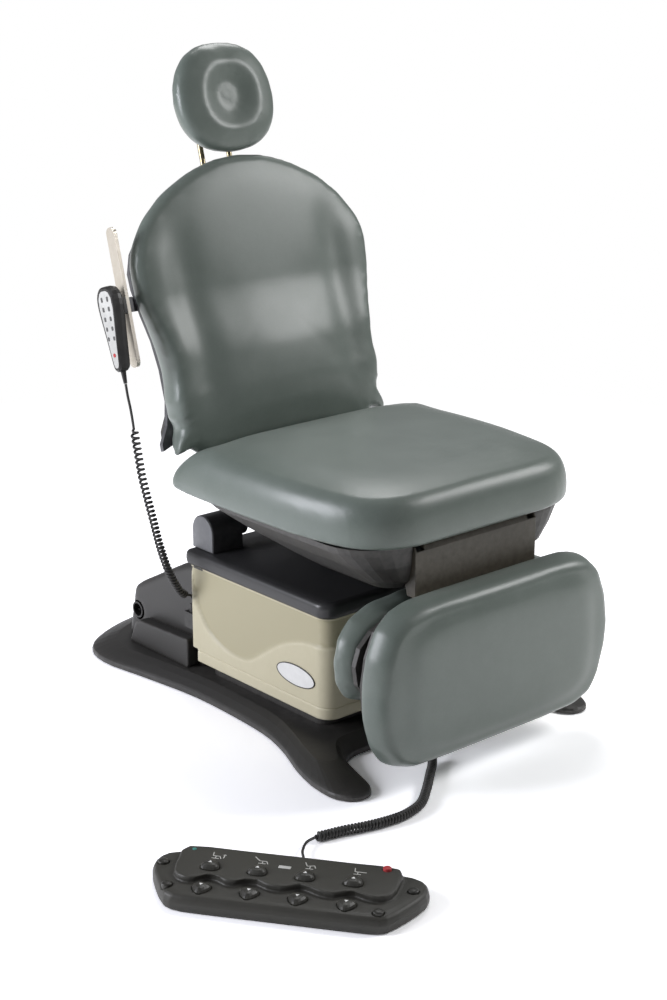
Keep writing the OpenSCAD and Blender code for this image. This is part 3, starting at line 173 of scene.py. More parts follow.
class Tree:
    """Short calls for building one node tree."""

    def __init__(self, tree: bpy.types.NodeTree) -> None:
        """Keeps the tree that the nodes go into."""
        self.tree = tree

    def node(self, kind: str, inputs: dict[Any, Any] | None = None,
             **settings: Any) -> bpy.types.Node:
        """Adds a node, sets its properties and fills or links its inputs.

        Args:
            kind: The node's type name.
            inputs: Values or output sockets, by input name or index.
            **settings: Properties of the node.

        Returns:
            The new node.
        """
        made = self.tree.nodes.new(kind)
        for name, value in settings.items():
            setattr(made, name, value)
        for key, value in (inputs or {}).items():
            if isinstance(value, bpy.types.NodeSocket):
                self.tree.links.new(value, made.inputs[key])
            else:
                made.inputs[key].default_value = value
        return made

    def stretch(self, value: bpy.types.NodeSocket, low: float, high: float, to_low: float = 0.0,
                to_high: float = 1.0) -> bpy.types.NodeSocket:
        """Maps a range of values to another, clamped.

        Args:
            value: The socket read.
            low: Value that gives to_low.
            high: Value that gives to_high.
            to_low: Result at low.
            to_high: Result at high.

        Returns:
            The mapped value's socket.
        """
        made = self.node("ShaderNodeMapRange", {"Value": value, "From Min": low, "From Max": high,
                                                "To Min": to_low, "To Max": to_high})
        return made.outputs["Result"]

    def blend(self, share: bpy.types.NodeSocket, a: Any, b: Any) -> bpy.types.NodeSocket:
        """Mixes two colours by a share and returns the mix's socket.

        Args:
            share: Share of the second colour.
            a: The first colour or its socket.
            b: The second colour or its socket.

        Returns:
            The mix's socket.
        """
        made = self.node("ShaderNodeMix", data_type="RGBA")
        for index, value in ((0, share), (6, a), (7, b)):
            if isinstance(value, bpy.types.NodeSocket):
                self.tree.links.new(value, made.inputs[index])
            else:
                made.inputs[index].default_value = value
        return made.outputs[2]

    def maths(self, operation: str, a: Any, b: Any) -> bpy.types.NodeSocket:
        """Combines two values and returns the result's socket."""
        return self.node("ShaderNodeMath", {0: a, 1: b}, operation=operation).outputs[0]


class SurfaceGroups:
    """Node groups that several finishes share, each made once."""

    def __init__(self) -> None:
        """Builds every group."""
        self.mottle = self._mottle()
        self.pebble = self._pebble()
        self.wear_and_highlight = self._wear_and_highlight()
        self.brushed = self._brushed()

    @staticmethod
    def _start(name: str, scale: float,
               output: str) -> tuple[Tree, bpy.types.Node, bpy.types.Node]:
        """Makes an empty group that takes a vector and a scale.

        Args:
            name: The group's name.
            scale: The scale's default.
            output: Name of its one output.

        Returns:
            The tree, its input node and its output node.
        """
        group = bpy.data.node_groups.new(name, "ShaderNodeTree")
        group.interface.new_socket("Vector", in_out="INPUT", socket_type="NodeSocketVector")
        socket = group.interface.new_socket("Scale", in_out="INPUT", socket_type="NodeSocketFloat")
        socket.default_value = scale
        group.interface.new_socket(output, in_out="OUTPUT", socket_type="NodeSocketFloat")
        tree = Tree(group)
        return tree, tree.node("NodeGroupInput"), tree.node("NodeGroupOutput")

    def _mottle(self) -> bpy.types.NodeTree:
        """Cloudy variation from 0 to 1.

        Returns:
            The group's tree.
        """
        tree, start, end = self._start("cloudy_mottle", 8.0, "Mask")
        noise = tree.node("ShaderNodeTexNoise", {"Vector": start.outputs["Vector"],
                                                 "Scale": start.outputs["Scale"],
                                                 "Detail": 5.0, "Roughness": 0.62})
        tree.tree.links.new(tree.stretch(noise.outputs[0], 0.32, 0.68), end.inputs[0])
        return tree.tree

    def _pebble(self) -> bpy.types.NodeTree:
        """Fine pressed grain as a height from 0 to 1.

        Returns:
            The group's tree.
        """
        tree, start, end = self._start("pressed_grain", 700.0, "Height")
        cells = tree.node("ShaderNodeTexVoronoi", {"Vector": start.outputs["Vector"],
                                                   "Scale": start.outputs["Scale"]},
                          feature="SMOOTH_F1")
        finer = tree.maths("MULTIPLY", start.outputs["Scale"], 1.9)
        noise = tree.node("ShaderNodeTexNoise", {"Vector": start.outputs["Vector"], "Scale": finer,
                                                 "Detail": 2.0})
        mixed = tree.maths("ADD", cells.outputs[0], tree.maths("MULTIPLY", noise.outputs[0], 0.6))
        tree.tree.links.new(tree.stretch(mixed, 0.2, 1.2), end.inputs[0])
        return tree.tree

    def _wear_and_highlight(self) -> bpy.types.NodeTree:
        """Rubbed edges as a mask: partly wear, partly a painted highlight on convex edges.

        Returns:
            The group's tree.
        """
        tree, start, end = self._start("rubbed_and_highlit_edges", 60.0, "Mask")
        shape = tree.node("ShaderNodeNewGeometry")
        noise = tree.node("ShaderNodeTexNoise", {"Vector": start.outputs["Vector"], "Detail": 4.0,
                                                 "Scale": start.outputs["Scale"]})
        # Convex edges by pointiness, where the wear and the painted highlight go.
        edge = tree.stretch(shape.outputs["Pointiness"], 0.505, 0.58)
        patchy = tree.stretch(noise.outputs[0], 0.3, 0.65, 0.25, 1.0)
        tree.tree.links.new(tree.maths("MULTIPLY", edge, patchy), end.inputs[0])
        return tree.tree

    def _brushed(self) -> bpy.types.NodeTree:
        """Fine lines drawn along the piece as a height.

        Returns:
            The group's tree.
        """
        tree, start, end = self._start("brushed_lines", 500.0, "Height")
        drawn = tree.node("ShaderNodeMapping", {"Vector": start.outputs["Vector"],
                                                "Scale": (1.0, 0.04, 0.04)})
        noise = tree.node("ShaderNodeTexNoise", {"Vector": drawn.outputs[0], "Detail": 3.0,
                                                 "Scale": start.outputs["Scale"]})
        tree.tree.links.new(noise.outputs[0], end.inputs[0])
        return tree.tree


@dataclass(frozen=True)
class Finish:
    """One finish: two cloudy tones, pressed grain and rubbed edges over a plain shader; the edges'
    lighter tone is partly wear, partly a painted highlight.

    The colours are web colours, the scales are repeats a metre and depth is in metres.
    """

    name: str
    tone: str
    second: str
    rubbed_and_highlit: str
    roughness: float = 0.5
    spread: float = 0.08
    mottle: float = 9.0
    grain: float = 900.0
    depth: float = 0.00012
    metallic: float = 0.0
    coat: float = 0.0
    sheen: float = 0.0
    lines: bool = False
    field: str = ""
    field_tone: str = ""

    cloud_share = 0.65
    finer = 14
    wear_and_highlight_scale = 70.0
    bump_strength = 0.6
    coat_roughness = 0.25

    def material(self, groups: SurfaceGroups) -> bpy.types.Material:
        """Builds the finish's material.

        Args:
            groups: The shared surface groups.

        Returns:
            The material, ready for a slot.
        """
        made = bpy.data.materials.new(self.name)
        made.use_nodes = True
        made.diffuse_color = linear(self.tone)
        tree = Tree(made.node_tree)
        shader = made.node_tree.nodes["Principled BSDF"]
        place = tree.node("ShaderNodeTexCoord").outputs["Object"]
        cloud = self._use(tree, groups.mottle, place, self.mottle)
        fine = self._use(tree, groups.mottle, place, self.mottle * self.finer)
        rubbed_and_highlit = self._use(tree, groups.wear_and_highlight, place, self.wear_and_highlight_scale)
        height = self._use(tree, groups.brushed if self.lines else groups.pebble, place, self.grain)
        share = tree.maths("ADD", tree.maths("MULTIPLY", cloud, self.cloud_share),
                           tree.maths("MULTIPLY", fine, 1 - self.cloud_share))
        colour = tree.blend(share, linear(self.tone), linear(self.second))
        # A second, darker tone covers the part that the field attribute marks.
        if self.field:
            mark = tree.node("ShaderNodeAttribute", attribute_name=self.field)
            other = tree.blend(share, linear(self.field_tone), linear(self.field_tone))
            colour = tree.blend(mark.outputs["Fac"], colour, other)
        # Convex edges turn to the lighter rubbed tone: partly wear, partly painted highlight.
        colour = tree.blend(rubbed_and_highlit, colour, linear(self.rubbed_and_highlit))
        rough = tree.stretch(share, 0.0, 1.0, self.roughness - self.spread / 2,
                             self.roughness + self.spread / 2)
        bump = tree.node("ShaderNodeBump", {"Height": height, "Distance": self.depth,
                                            "Strength": self.bump_strength})
        links = made.node_tree.links
        links.new(colour, shader.inputs["Base Color"])
        links.new(rough, shader.inputs["Roughness"])
        links.new(bump.outputs[0], shader.inputs["Normal"])
        shader.inputs["Metallic"].default_value = self.metallic
        shader.inputs["Coat Weight"].default_value = self.coat
        shader.inputs["Coat Roughness"].default_value = self.coat_roughness
        shader.inputs["Sheen Weight"].default_value = self.sheen
        return made

    @staticmethod
    def _use(tree: Tree, group: bpy.types.NodeTree, place: bpy.types.NodeSocket,
             scale: float) -> bpy.types.NodeSocket:
        """Places a shared group at a scale and returns its output.

        Args:
            tree: The material's tree.
            group: The shared group.
            place: Socket of the point it is read at.
            scale: Its repeats a metre.

        Returns:
            The group's output.
        """
        made = tree.node("ShaderNodeGroup", node_tree=group)
        tree.tree.links.new(place, made.inputs["Vector"])
        made.inputs["Scale"].default_value = scale
        return made.outputs[0]


# Each finish's third colour is its lighter edge tone: partly wear, partly painted highlight.
VINYL = Finish("green_vinyl", "68726b", "707a73", "7a847d", 0.37, 0.08, 16, 1500, 0.00014,
               coat=0.24, sheen=0.05)
BEIGE = Finish("beige_shroud", "cbc4a9", "c5bea2", "ddd7c0", 0.46, 0.06, 7, 1100, 0.00006,
               field="upper_field", field_tone="b0a98c")
COVER_BLACK = Finish("cover_black", "2b2a28", "2f2e2c", "4c4a47", 0.46, 0.08, 8, 1300, 0.0001)
TRAY_BLACK = Finish("tray_black", "2a2a2b", "2e2e2f", "484849", 0.36, 0.06, 8, 1500, 0.00005)
CASE_BLACK = Finish("case_black", "1e1d1c", "242322", "3c3b39", 0.4, 0.1, 14, 1600, 0.00005)
SOCKET_BLACK = Finish("socket_black", "1b1a19", "201f1e", "393836", 0.5, 0.1, 14, 1400, 0.00006)
BRACKET_BROWN = Finish("bracket_brown", "3c382f", "413d34", "6a6458", 0.46, 0.08, 9, 1200, 0.0001)
PEDAL_OLIVE = Finish("pedal_olive", "33322d", "3a3933", "57564f", 0.5, 0.1, 12, 1400, 0.0001)
PIVOT_GREY = Finish("pivot_grey", "6b6c6f", "737477", "909193", 0.48, 0.08, 12, 1200, 0.00008)
BADGE_WHITE = Finish("badge_white", "dddddb", "e4e4e2", "f0f0ee", 0.3, 0.06, 20, 900, 0.00003)
LABEL_GREY = Finish("label_grey", "bdbdb9", "c6c6c2", "d6d6d2", 0.42, 0.08, 20, 1200, 0.00003)
RAIL_SILVER = Finish("rail_silver", "d8d0c3", "c9c1b4", "efe9df", 0.3, 0.1, 12, 700, 0.00004,
                     metallic=0.85, lines=True)
BRIGHT_STEEL = Finish("bright_steel", "b9b6ae", "a8a59d", "dddad2", 0.24, 0.1, 14, 800, 0.00003,
                      metallic=1.0, lines=True)
ROD_STEEL = Finish("rod_steel", "9a8f74", "8a8066", "d6ccb2", 0.22, 0.08, 14, 800, 0.00003,
                   metallic=1.0, lines=True)
PAINTED_STEEL = Finish("painted_steel", "38383a", "404042", "6a6a6c", 0.5, 0.12, 9, 1000, 0.00012)
COLUMN_ALUMINIUM = Finish("column_aluminium", "a6a8ab", "989a9d", "cfd1d4", 0.36, 0.1, 10, 700,
                          0.00004, metallic=0.9, lines=True)
CIRCUIT_GREEN = Finish("circuit_green", "1d4a2b", "245734", "3f7a50", 0.4, 0.1, 60, 900, 0.00004)
DOME_RUBBER = Finish("dome_rubber", "262521", "2c2b26", "45443e", 0.42, 0.08, 20, 1500, 0.00005)
STOP_RED = Finish("stop_red", "b3262a", "bb3033", "d4585a", 0.36, 0.06, 20, 1200, 0.00003)
LAMP_GREEN = Finish("lamp_green", "328278", "3c8e84", "6fb8ae", 0.3, 0.06, 30, 900, 0.00002)
CORD_RUBBER = Finish("cord_rubber", "1d1c1b", "232221", "393836", 0.46, 0.08, 40, 1600, 0.00004)
PRINT_WHITE = Finish("print_white", "e8e8e4", "dededa", "f2f2f0", 0.5, 0.06, 40, 1200, 0.00002)
PRINT_GREY = Finish("print_grey", "b9b9b3", "adada7", "d0d0ca", 0.5, 0.06, 40, 1200, 0.00002)
PRINT_DARK = Finish("print_dark", "4a4a4a", "555553", "6a6a68", 0.5, 0.06, 40, 1200, 0.00002)


class Workshop:
    """Makes pieces from bmeshes, dresses them and fastens them to the frame."""

    def __init__(self) -> None:
        """Starts with the shared groups and no materials."""
        self.groups = SurfaceGroups()
        self.materials: dict[str, bpy.types.Material] = {}

    def material(self, finish: Finish) -> bpy.types.Material:
        """Returns a finish's material, made once.

        Args:
            finish: The finish.

        Returns:
            Its material.
        """
        if finish.name not in self.materials:
            self.materials[finish.name] = finish.material(self.groups)
        return self.materials[finish.name]

    def merged(self, node: str) -> bmesh.types.BMesh:
        """Copies a CAD node's triangles into a merged bmesh.

        Args:
            node: The node's name.

        Returns:
            A closed bmesh in the row frame.
        """
        bm = bmesh.new()
        bm.from_mesh(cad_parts[node].data)
        bmesh.ops.remove_doubles(bm, verts=bm.verts, dist=MERGE)
        bmesh.ops.recalc_face_normals(bm, faces=bm.faces)
        return bm

    def piece(self, name: str, bm: bmesh.types.BMesh, finish: Finish, body: Body | str | None,
              slot: Slot, replaces: Iterable[str] = (), sharp: float = 35.0) -> bpy.types.Object:
        """Turns a bmesh into a finished piece, as mesh_piece does, and frees the bmesh."""
        return self.mesh_piece(name, meshed(name, bm), finish, body, replaces, sharp)

    def mesh_piece(self, name: str, mesh: bpy.types.Mesh, finish: Finish, body: Body | str | None,
                   replaces: Iterable[str] = (),
                   sharp: float = 35.0) -> bpy.types.Object:
        """Turns a mesh into a finished piece of the object.

        Args:
            name: The piece's name.
            mesh: Its mesh in the row frame.
            finish: Its finish.
            body: The body it rides on, or None for no body.
            replaces: CAD nodes it stands for.
            sharp: Angle in degrees past which an edge stays crisp.

        Returns:
            The new object.
        """
        for polygon in mesh.polygons:
            polygon.use_smooth = True
        mesh.set_sharp_from_angle(angle=math.radians(sharp))
        mesh.materials.clear()
        mesh.materials.append(self.material(finish))
        made = placed(name, mesh)
        if body is not None:
            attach(made, body.value if isinstance(body, Body) else body)
        names = list(replaces)
        if names:
            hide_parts(*names)
        LOG.info("%s: %d faces, stands for %s", name, len(mesh.polygons), names or "nothing")
        return made

    def dress(self, node: str, finish: Finish, edge: float = 0.0) -> None:
        """Gives a CAD node its finish, with softened edges.

        Args:
            node: The node's name.
            finish: Its finish.
            edge: Width of the softened edges in metres, or 0 for none.
        """
        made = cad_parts[node]
        made.data.materials.clear()
        made.data.materials.append(self.material(finish))
        weld = made.modifiers.new("weld", "WELD")
        weld.merge_threshold = MERGE
        if edge > 0:
            bevel = made.modifiers.new("soft_edge", "BEVEL")
            bevel.width = edge
            bevel.segments = 2
            bevel.limit_method = "ANGLE"
            bevel.angle_limit = math.radians(40)
        split = made.modifiers.new("crisp", "EDGE_SPLIT")
        split.split_angle = math.radians(38)
        normal = made.modifiers.new("even", "WEIGHTED_NORMAL")
        normal.keep_sharp = True
        LOG.info("%s keeps its solid", node)


def knot(a: Vector, b: Vector, c: Vector, d: Vector, t: float) -> Vector:
    """Point at share t between b and c on a smooth curve through a, b, c and d."""
    return (b + (c - a) * t / 2 + (a * 2 - b * 5 + c * 4 - d) * t * t / 2
            + (b * 3 - a - c * 3 + d) * t * t * t / 2)


def route_at(points: Sequence[Vector], t: float) -> Vector:
    """Point on a smooth open curve.

    Args:
        points: The curve's knots.
        t: Knot number, with a fraction between knots.

    Returns:
        The point there.
    """
    last = len(points) - 1
    i = max(0, min(int(math.floor(t)), last))
    near = [points[max(0, min(i + k, last))] for k in (-1, 0, 1, 2)]
    return knot(near[0], near[1], near[2], near[3], t - i)


def soft_step(value: float) -> float:
    """Smooth ramp from 0 to 1."""
    v = max(0.0, min(1.0, value))
    return v * v * (3 - 2 * v)


def ring(bm: bmesh.types.BMesh, points: Sequence[Vector]) -> list[bmesh.types.BMEdge]:
    """Adds a closed ring of vertices and returns its edges."""
    verts = [bm.verts.new(p) for p in points]
    return [bm.edges.new((verts[i], verts[(i + 1) % len(verts)])) for i in range(len(verts))]


def slab(bm: bmesh.types.BMesh, outline: Sequence[Vector], rise: Vector, edge: float = 0.0) -> None:
    """Adds a closed slab with softened rims.

    Args:
        bm: The bmesh.
        outline: Corners of its face, in order.
        rise: From that face to the other one.
        edge: Width of the softened rims, or 0 for none.
    """
    verts = [bm.verts.new(p) for p in outline]
    face = bm.faces.new(verts)
    made = bmesh.ops.extrude_face_region(bm, geom=[face])["geom"]
    far = [g for g in made if isinstance(g, bmesh.types.BMVert)]
    bmesh.ops.translate(bm, verts=far, vec=rise)
    if edge > 0:
        rims = list({e for g in made if isinstance(g, bmesh.types.BMFace) for e in g.edges})
        bmesh.ops.bevel(bm, geom=rims, offset=edge, segments=3, profile=0.5, affect="EDGES",
                        material=-1)
    bmesh.ops.recalc_face_normals(bm, faces=bm.faces)


def raise_ring(bm: bmesh.types.BMesh, edges: Sequence[bmesh.types.BMEdge],
               keys: dict[bmesh.types.BMVert, Any]
               ) -> tuple[list[bmesh.types.BMEdge], dict[bmesh.types.BMVert, Any]]:
    """Extrudes a ring of edges, ready for its new vertices to be placed.

    Args:
        bm: The bmesh.
        edges: The ring.
        keys: A key for each of its vertices.

    Returns:
        The new ring's edges, and each new vertex with the key of the one it came from.
    """
    made = bmesh.ops.extrude_edge_only(bm, edges=edges)["geom"]
    fresh = {}
    for vert in (g for g in made if isinstance(g, bmesh.types.BMVert)):
        near = (edge.other_vert(vert) for edge in vert.link_edges)
        fresh[vert] = next(keys[other] for other in near if other in keys)
    return [g for g in made if isinstance(g, bmesh.types.BMEdge)], fresh


def relax(bm: bmesh.types.BMesh, verts: Any, rounds: int) -> None:
    """Moves vertices halfway to their neighbours' middle, a number of rounds.

    Args:
        bm: The bmesh.
        verts: The vertices that move.
        rounds: How often.
    """
    for _ in range(rounds):
        bmesh.ops.smooth_vert(bm, verts=verts, factor=0.5, use_axis_x=True, use_axis_y=True,
                              use_axis_z=True)


def even_mesh(bm: bmesh.types.BMesh, voxel: float, name: str) -> bpy.types.Mesh:
    """Covers a closed bmesh with even quads and frees it.

    Args:
        bm: The closed bmesh.
        voxel: Side of the quads in metres.
        name: The mesh's name.

    Returns:
        The new mesh.
    """
    holder = placed(name + "_rough", meshed(name + "_rough", bm))
    remesh = holder.modifiers.new("even", "REMESH")
    remesh.mode = "VOXEL"
    remesh.voxel_size = voxel
    return settled(holder)


@dataclass(frozen=True)
class Lamp:
    """One soft square lamp. Places and side are in metres, the power is in watts."""

    name: str
    place: Point
    power: float
    tint: Point = (1.0, 1.0, 1.0)
    target: Point = (0.0, 0.0, 0.6)
    side: float = 1.5

    def build(self) -> None:
        """Adds the lamp, turned to its target."""
        data = bpy.data.lights.new(self.name, "AREA")
        data.shape = "SQUARE"
        data.size = self.side
        data.energy = self.power
        data.color = self.tint
        made = placed(self.name, data)
        made.location = self.place
        ahead = Vector(self.target) - Vector(self.place)
        made.rotation_euler = ahead.to_track_quat("-Z", "Y").to_euler()


@dataclass
class Studio:
    """Pale floor, soft lamps, white surroundings and the camera. Lengths are in metres."""

    floor_half: float = 9.0
    floor_fade: tuple[float, float] = (1.5, 2.6)
    floor_tone: Point = (0.8, 0.8, 0.8)
    floor_seen: Point = (1.8, 1.8, 1.81)
    world_tone: Point = (0.22, 0.22, 0.23)
    camera_place: Point = (-2.49, -2.95, 1.65)
    camera_ahead: Point = (0.6247, 0.7186, -0.3057)
    lens: float = 67.7
    sensor: float = 36.0

    lamps = [Lamp("key", (2.5, -1.9, 2.5), 62.0),
             Lamp("left", (-3.0, 1.2, 1.5), 92.0, tint=(0.92, 0.93, 1.0)),
             Lamp("rear", (1.6, 1.3, 3.6), 42.0, target=(0.0, 0.1, 0.8))]

    def build(self) -> None:
        """Sets the scene round the object."""
        bpy.context.scene.view_settings.view_transform = "Standard"
        self._floor()
        self._world()
        for lamp in self.lamps:
            lamp.build()
        self._camera()

    def _camera(self) -> None:
        """Places the camera where the photograph was taken."""
        data = bpy.data.cameras.new("camera")
        data.sensor_width = self.sensor
        data.lens = self.lens
        made = placed("camera", data)
        made.location = self.camera_place
        made.rotation_euler = Vector(self.camera_ahead).to_track_quat("-Z", "Y").to_euler()
        bpy.context.scene.camera = made

    def _floor(self) -> None:
        """Pale floor that keeps the shadow and fades to white far out."""
        bm = bmesh.new()
        bmesh.ops.create_grid(bm, x_segments=2, y_segments=2, size=self.floor_half)
        mesh = meshed("floor", bm)
        made = placed("floor", mesh)
        material = bpy.data.materials.new("floor_white")
        material.use_nodes = True
        tree = Tree(material.node_tree)
        rays = tree.node("ShaderNodeLightPath").outputs
        seen = tree.maths("MAXIMUM", rays["Is Camera Ray"], rays["Is Glossy Ray"])
        seen = tree.maths("MAXIMUM", seen, rays["Is Transmission Ray"])
        colour = tree.blend(seen, (*self.floor_tone, 1), (*self.floor_seen, 1))
        near = tree.node("ShaderNodeBsdfDiffuse", {"Color": colour})
        far = tree.node("ShaderNodeEmission", {"Color": (1, 1, 1, 1), "Strength": 1.0})
        place = tree.node("ShaderNodeNewGeometry").outputs["Position"]
        reach = tree.node("ShaderNodeVectorMath", {0: place}, operation="LENGTH").outputs["Value"]
        share = tree.maths("MULTIPLY", tree.stretch(reach, *self.floor_fade), seen)
        shader = tree.node("ShaderNodeMixShader", {0: share, 1: near.outputs[0], 2: far.outputs[0]})
        out = material.node_tree.nodes["Material Output"]
        material.node_tree.links.new(shader.outputs[0], out.inputs["Surface"])
        mesh.materials.append(material)

    def _world(self) -> None:
        """Soft grey light, white where it is seen."""
        world = bpy.data.worlds.new("studio")
        bpy.context.scene.world = world
        world.use_nodes = True
        tree = Tree(world.node_tree)
        rays = tree.node("ShaderNodeLightPath").outputs
        seen = tree.maths("MAXIMUM", rays["Is Camera Ray"], rays["Is Transmission Ray"])
        colour = tree.blend(seen, (*self.world_tone, 1), (1.0, 1.0, 1.0, 1))
        background = world.node_tree.nodes["Background"]
        world.node_tree.links.new(colour, background.inputs["Color"])


@dataclass
class CurlyCord:
    """A cord whose middle stretch winds round its own line. Sizes are in millimetres."""

    name: str
    start: list[Point]
    coil: list[Point]
    end: list[Point]
    up: Point
    pitches: tuple[float, float]
    diameter: float = 5.5
    coil_diameter: float = 19.0
    turn_points: int = 14
    knot_points: int = 4
    fine: int = 40

    def points(self) -> list[Vector]:
        """Centre line of the whole cord, in metres.

        Returns:
            Its points, from the first end to the last.
        """
        start = [Vector(p) for p in self.start + self.coil[:1]]
        coil = [Vector(p) for p in self.coil]
        end = [Vector(p) for p in self.coil[-1:] + self.end]
        steps = self.knot_points
        line = [route_at(start, i / steps) for i in range((len(start) - 1) * steps)]
        line += self._turns(coil)
        line += [route_at(end, i / steps) for i in range(1, (len(end) - 1) * steps + 1)]
        return [p * MM for p in line]

    def _turns(self, coil: list[Vector]) -> list[Vector]:
        """Points of the curls, closer together towards the end.

        Args:
            coil: The line that the curls wind round.

        Returns:
            Points along the curls, from the first knot to the last.
        """
        line = [route_at(coil, i / self.fine) for i in range((len(coil) - 1) * self.fine + 1)]
        run = [0.0]
        for a, b in zip(line, line[1:]):
            run.append(run[-1] + (b - a).length)
        total = run[-1]
        first, last = self.pitches
        mean = (first + last) / 2
        turns = round(total / mean)
        count = turns * self.turn_points
        radius = (self.coil_diameter - self.diameter) / 2
        made = []
        for i in range(count + 1):
            share = i / count
            turn = share * turns
            reach = total * (first * share + (last - first) * share * share / 2) / mean
            k = next((j for j, r in enumerate(run) if r >= reach), len(run) - 1)
            k = max(1, k)
            part = (reach - run[k - 1]) / max(run[k] - run[k - 1], 1e-9)
            centre = line[k - 1].lerp(line[k], min(1.0, part))
            ahead = (line[min(k + 2, len(line) - 1)] - line[max(k - 3, 0)]).normalized()
            side = ahead.cross(Vector(self.up)).normalized()
            lift = side.cross(ahead)
            ramp = soft_step(min(1.0, turn, turns - turn))
            angle = turn * math.tau
            made.append(centre + (side * math.cos(angle) + lift * math.sin(angle)) * radius * ramp)
        return made

    def mesh(self, points: Sequence[Vector], name: str) -> bpy.types.Mesh:
        """Round tube along points.

        Args:
            points: The centre line in metres.
            name: The mesh's name.

        Returns:
            The closed tube's mesh.
        """
        data = bpy.data.curves.new(name + "_line", "CURVE")
        data.dimensions = "3D"
        data.bevel_depth = self.diameter * MM / 2
        data.bevel_resolution = 2
        data.use_fill_caps = True
        spline = data.splines.new("POLY")
        spline.points.add(len(points) - 1)
        for knob, p in zip(spline.points, points):
            knob.co = (p.x, p.y, p.z, 1.0)
        mesh = settled(placed(name + "_line", data))
        with opened(mesh) as bm:
            bmesh.ops.remove_doubles(bm, verts=bm.verts, dist=MERGE / 2)
            bmesh.ops.recalc_face_normals(bm, faces=bm.faces)
        return mesh

    @staticmethod
    def length(points: Sequence[Vector]) -> float:
        """Length of a line in metres."""
        return sum((b - a).length for a, b in zip(points, points[1:]))


class Cords:
    """The curly cords of the hand control and of the foot control."""

    hand = CurlyCord(
        "hand_cord",
        [(-370.5, 133.1, 704.8), (-370.5, 131.7, 699.5), (-370.5, 127, 680), (-368, 123, 656),
         (-365, 122, 634)],
        [(-362, 122, 612), (-355, 120, 560), (-348, 118, 507), (-338, 116, 460), (-325, 115, 406),
         (-310, 115, 346), (-288, 116, 283), (-262, 119, 236), (-248, 123, 222), (-236, 131, 214)],
        [(-226, 136, 210), (-216, 137, 205), (-212, 137, 196), (-212, 137, 186.4)],
        (0, 1, 0), (12.0, 7.6))
    foot = CurlyCord(
        "foot_cord",
        [(-577.2, -663.8, 17), (-572.8, -660.6, 17), (-560, -648, 14.5), (-541, -623, 11),
         (-514, -602, 10.5)],
        [(-490, -598, 10.5), (-432, -612, 10.5), (-394, -625, 10.5), (-351, -636, 10.5),
         (-304, -640, 10.5), (-254, -628, 10.5), (-208, -596, 10.5), (-151, -548, 10.5),
         (-118, -520, 12), (-96, -496, 20)],
        [(-80, -470, 34), (-66, -440, 43), (-52, -400, 47), (-42, -350, 52), (-40, -320, 56),
         (-40, -306.4, 56)],
        (0, 0, 1), (6.8, 6.6), coil_diameter=20.0)

    def build(self, shop: Workshop) -> None:
        """Lays both cords."""
        self._foot(shop)
        self._hand(shop)

    def _foot(self, shop: Workshop) -> None:
        """Lays the foot control's cord on the floor.

        Args:
            shop: The workshop.
        """
        points = self.foot.points()
        name = "foot_curly_cord"
        piece = shop.mesh_piece(name, self.foot.mesh(points, name), CORD_RUBBER, Body.BASE,
                                ["foot_cord"], sharp=80)
        self.foot.length(points)

    def _hand(self, shop: Workshop) -> None:
        """Hangs the hand control's cord in three lengths on no body.

        Args:
            shop: The workshop.
        """
        points = self.hand.points()
        count = len(points)
        cuts = [0, int(count * 0.34), int(count * 0.68), count - 1]
        names = ["hand_cord_upper", "hand_cord_middle", "hand_cord_lower"]
        for i, name in enumerate(names):
            part = points[cuts[i]:cuts[i + 1] + 1]
            piece = shop.mesh_piece(name, self.hand.mesh(part, name), CORD_RUBBER, None,
                                    ["hand_cord"], sharp=80)
            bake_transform(piece)
            self.hand.length(part)


@dataclass
class Moulding:
    """A solid of the base remade as one soft-edged moulding.

    The voxel is in metres, rounds counts its smoothing and keep is the share of faces left.
    """

    name: str
    node: str
    slot: Slot
    finish: Finish
    voxel: float
    rounds: int
    keep: float

    def build(self, shop: Workshop) -> None:
        """Makes the moulding from even faces, smoothed and thinned out.

        Args:
            shop: The workshop.
        """
        mesh = even_mesh(shop.merged(self.node), self.voxel, self.name)
        with opened(mesh) as bm:
            relax(bm, bm.verts, self.rounds)
        made = shop.mesh_piece(self.name, mesh, self.finish, Body.BASE, [self.node],
                               sharp=70)
        fewer = made.modifiers.new("fewer", "DECIMATE")
        fewer.ratio = self.keep


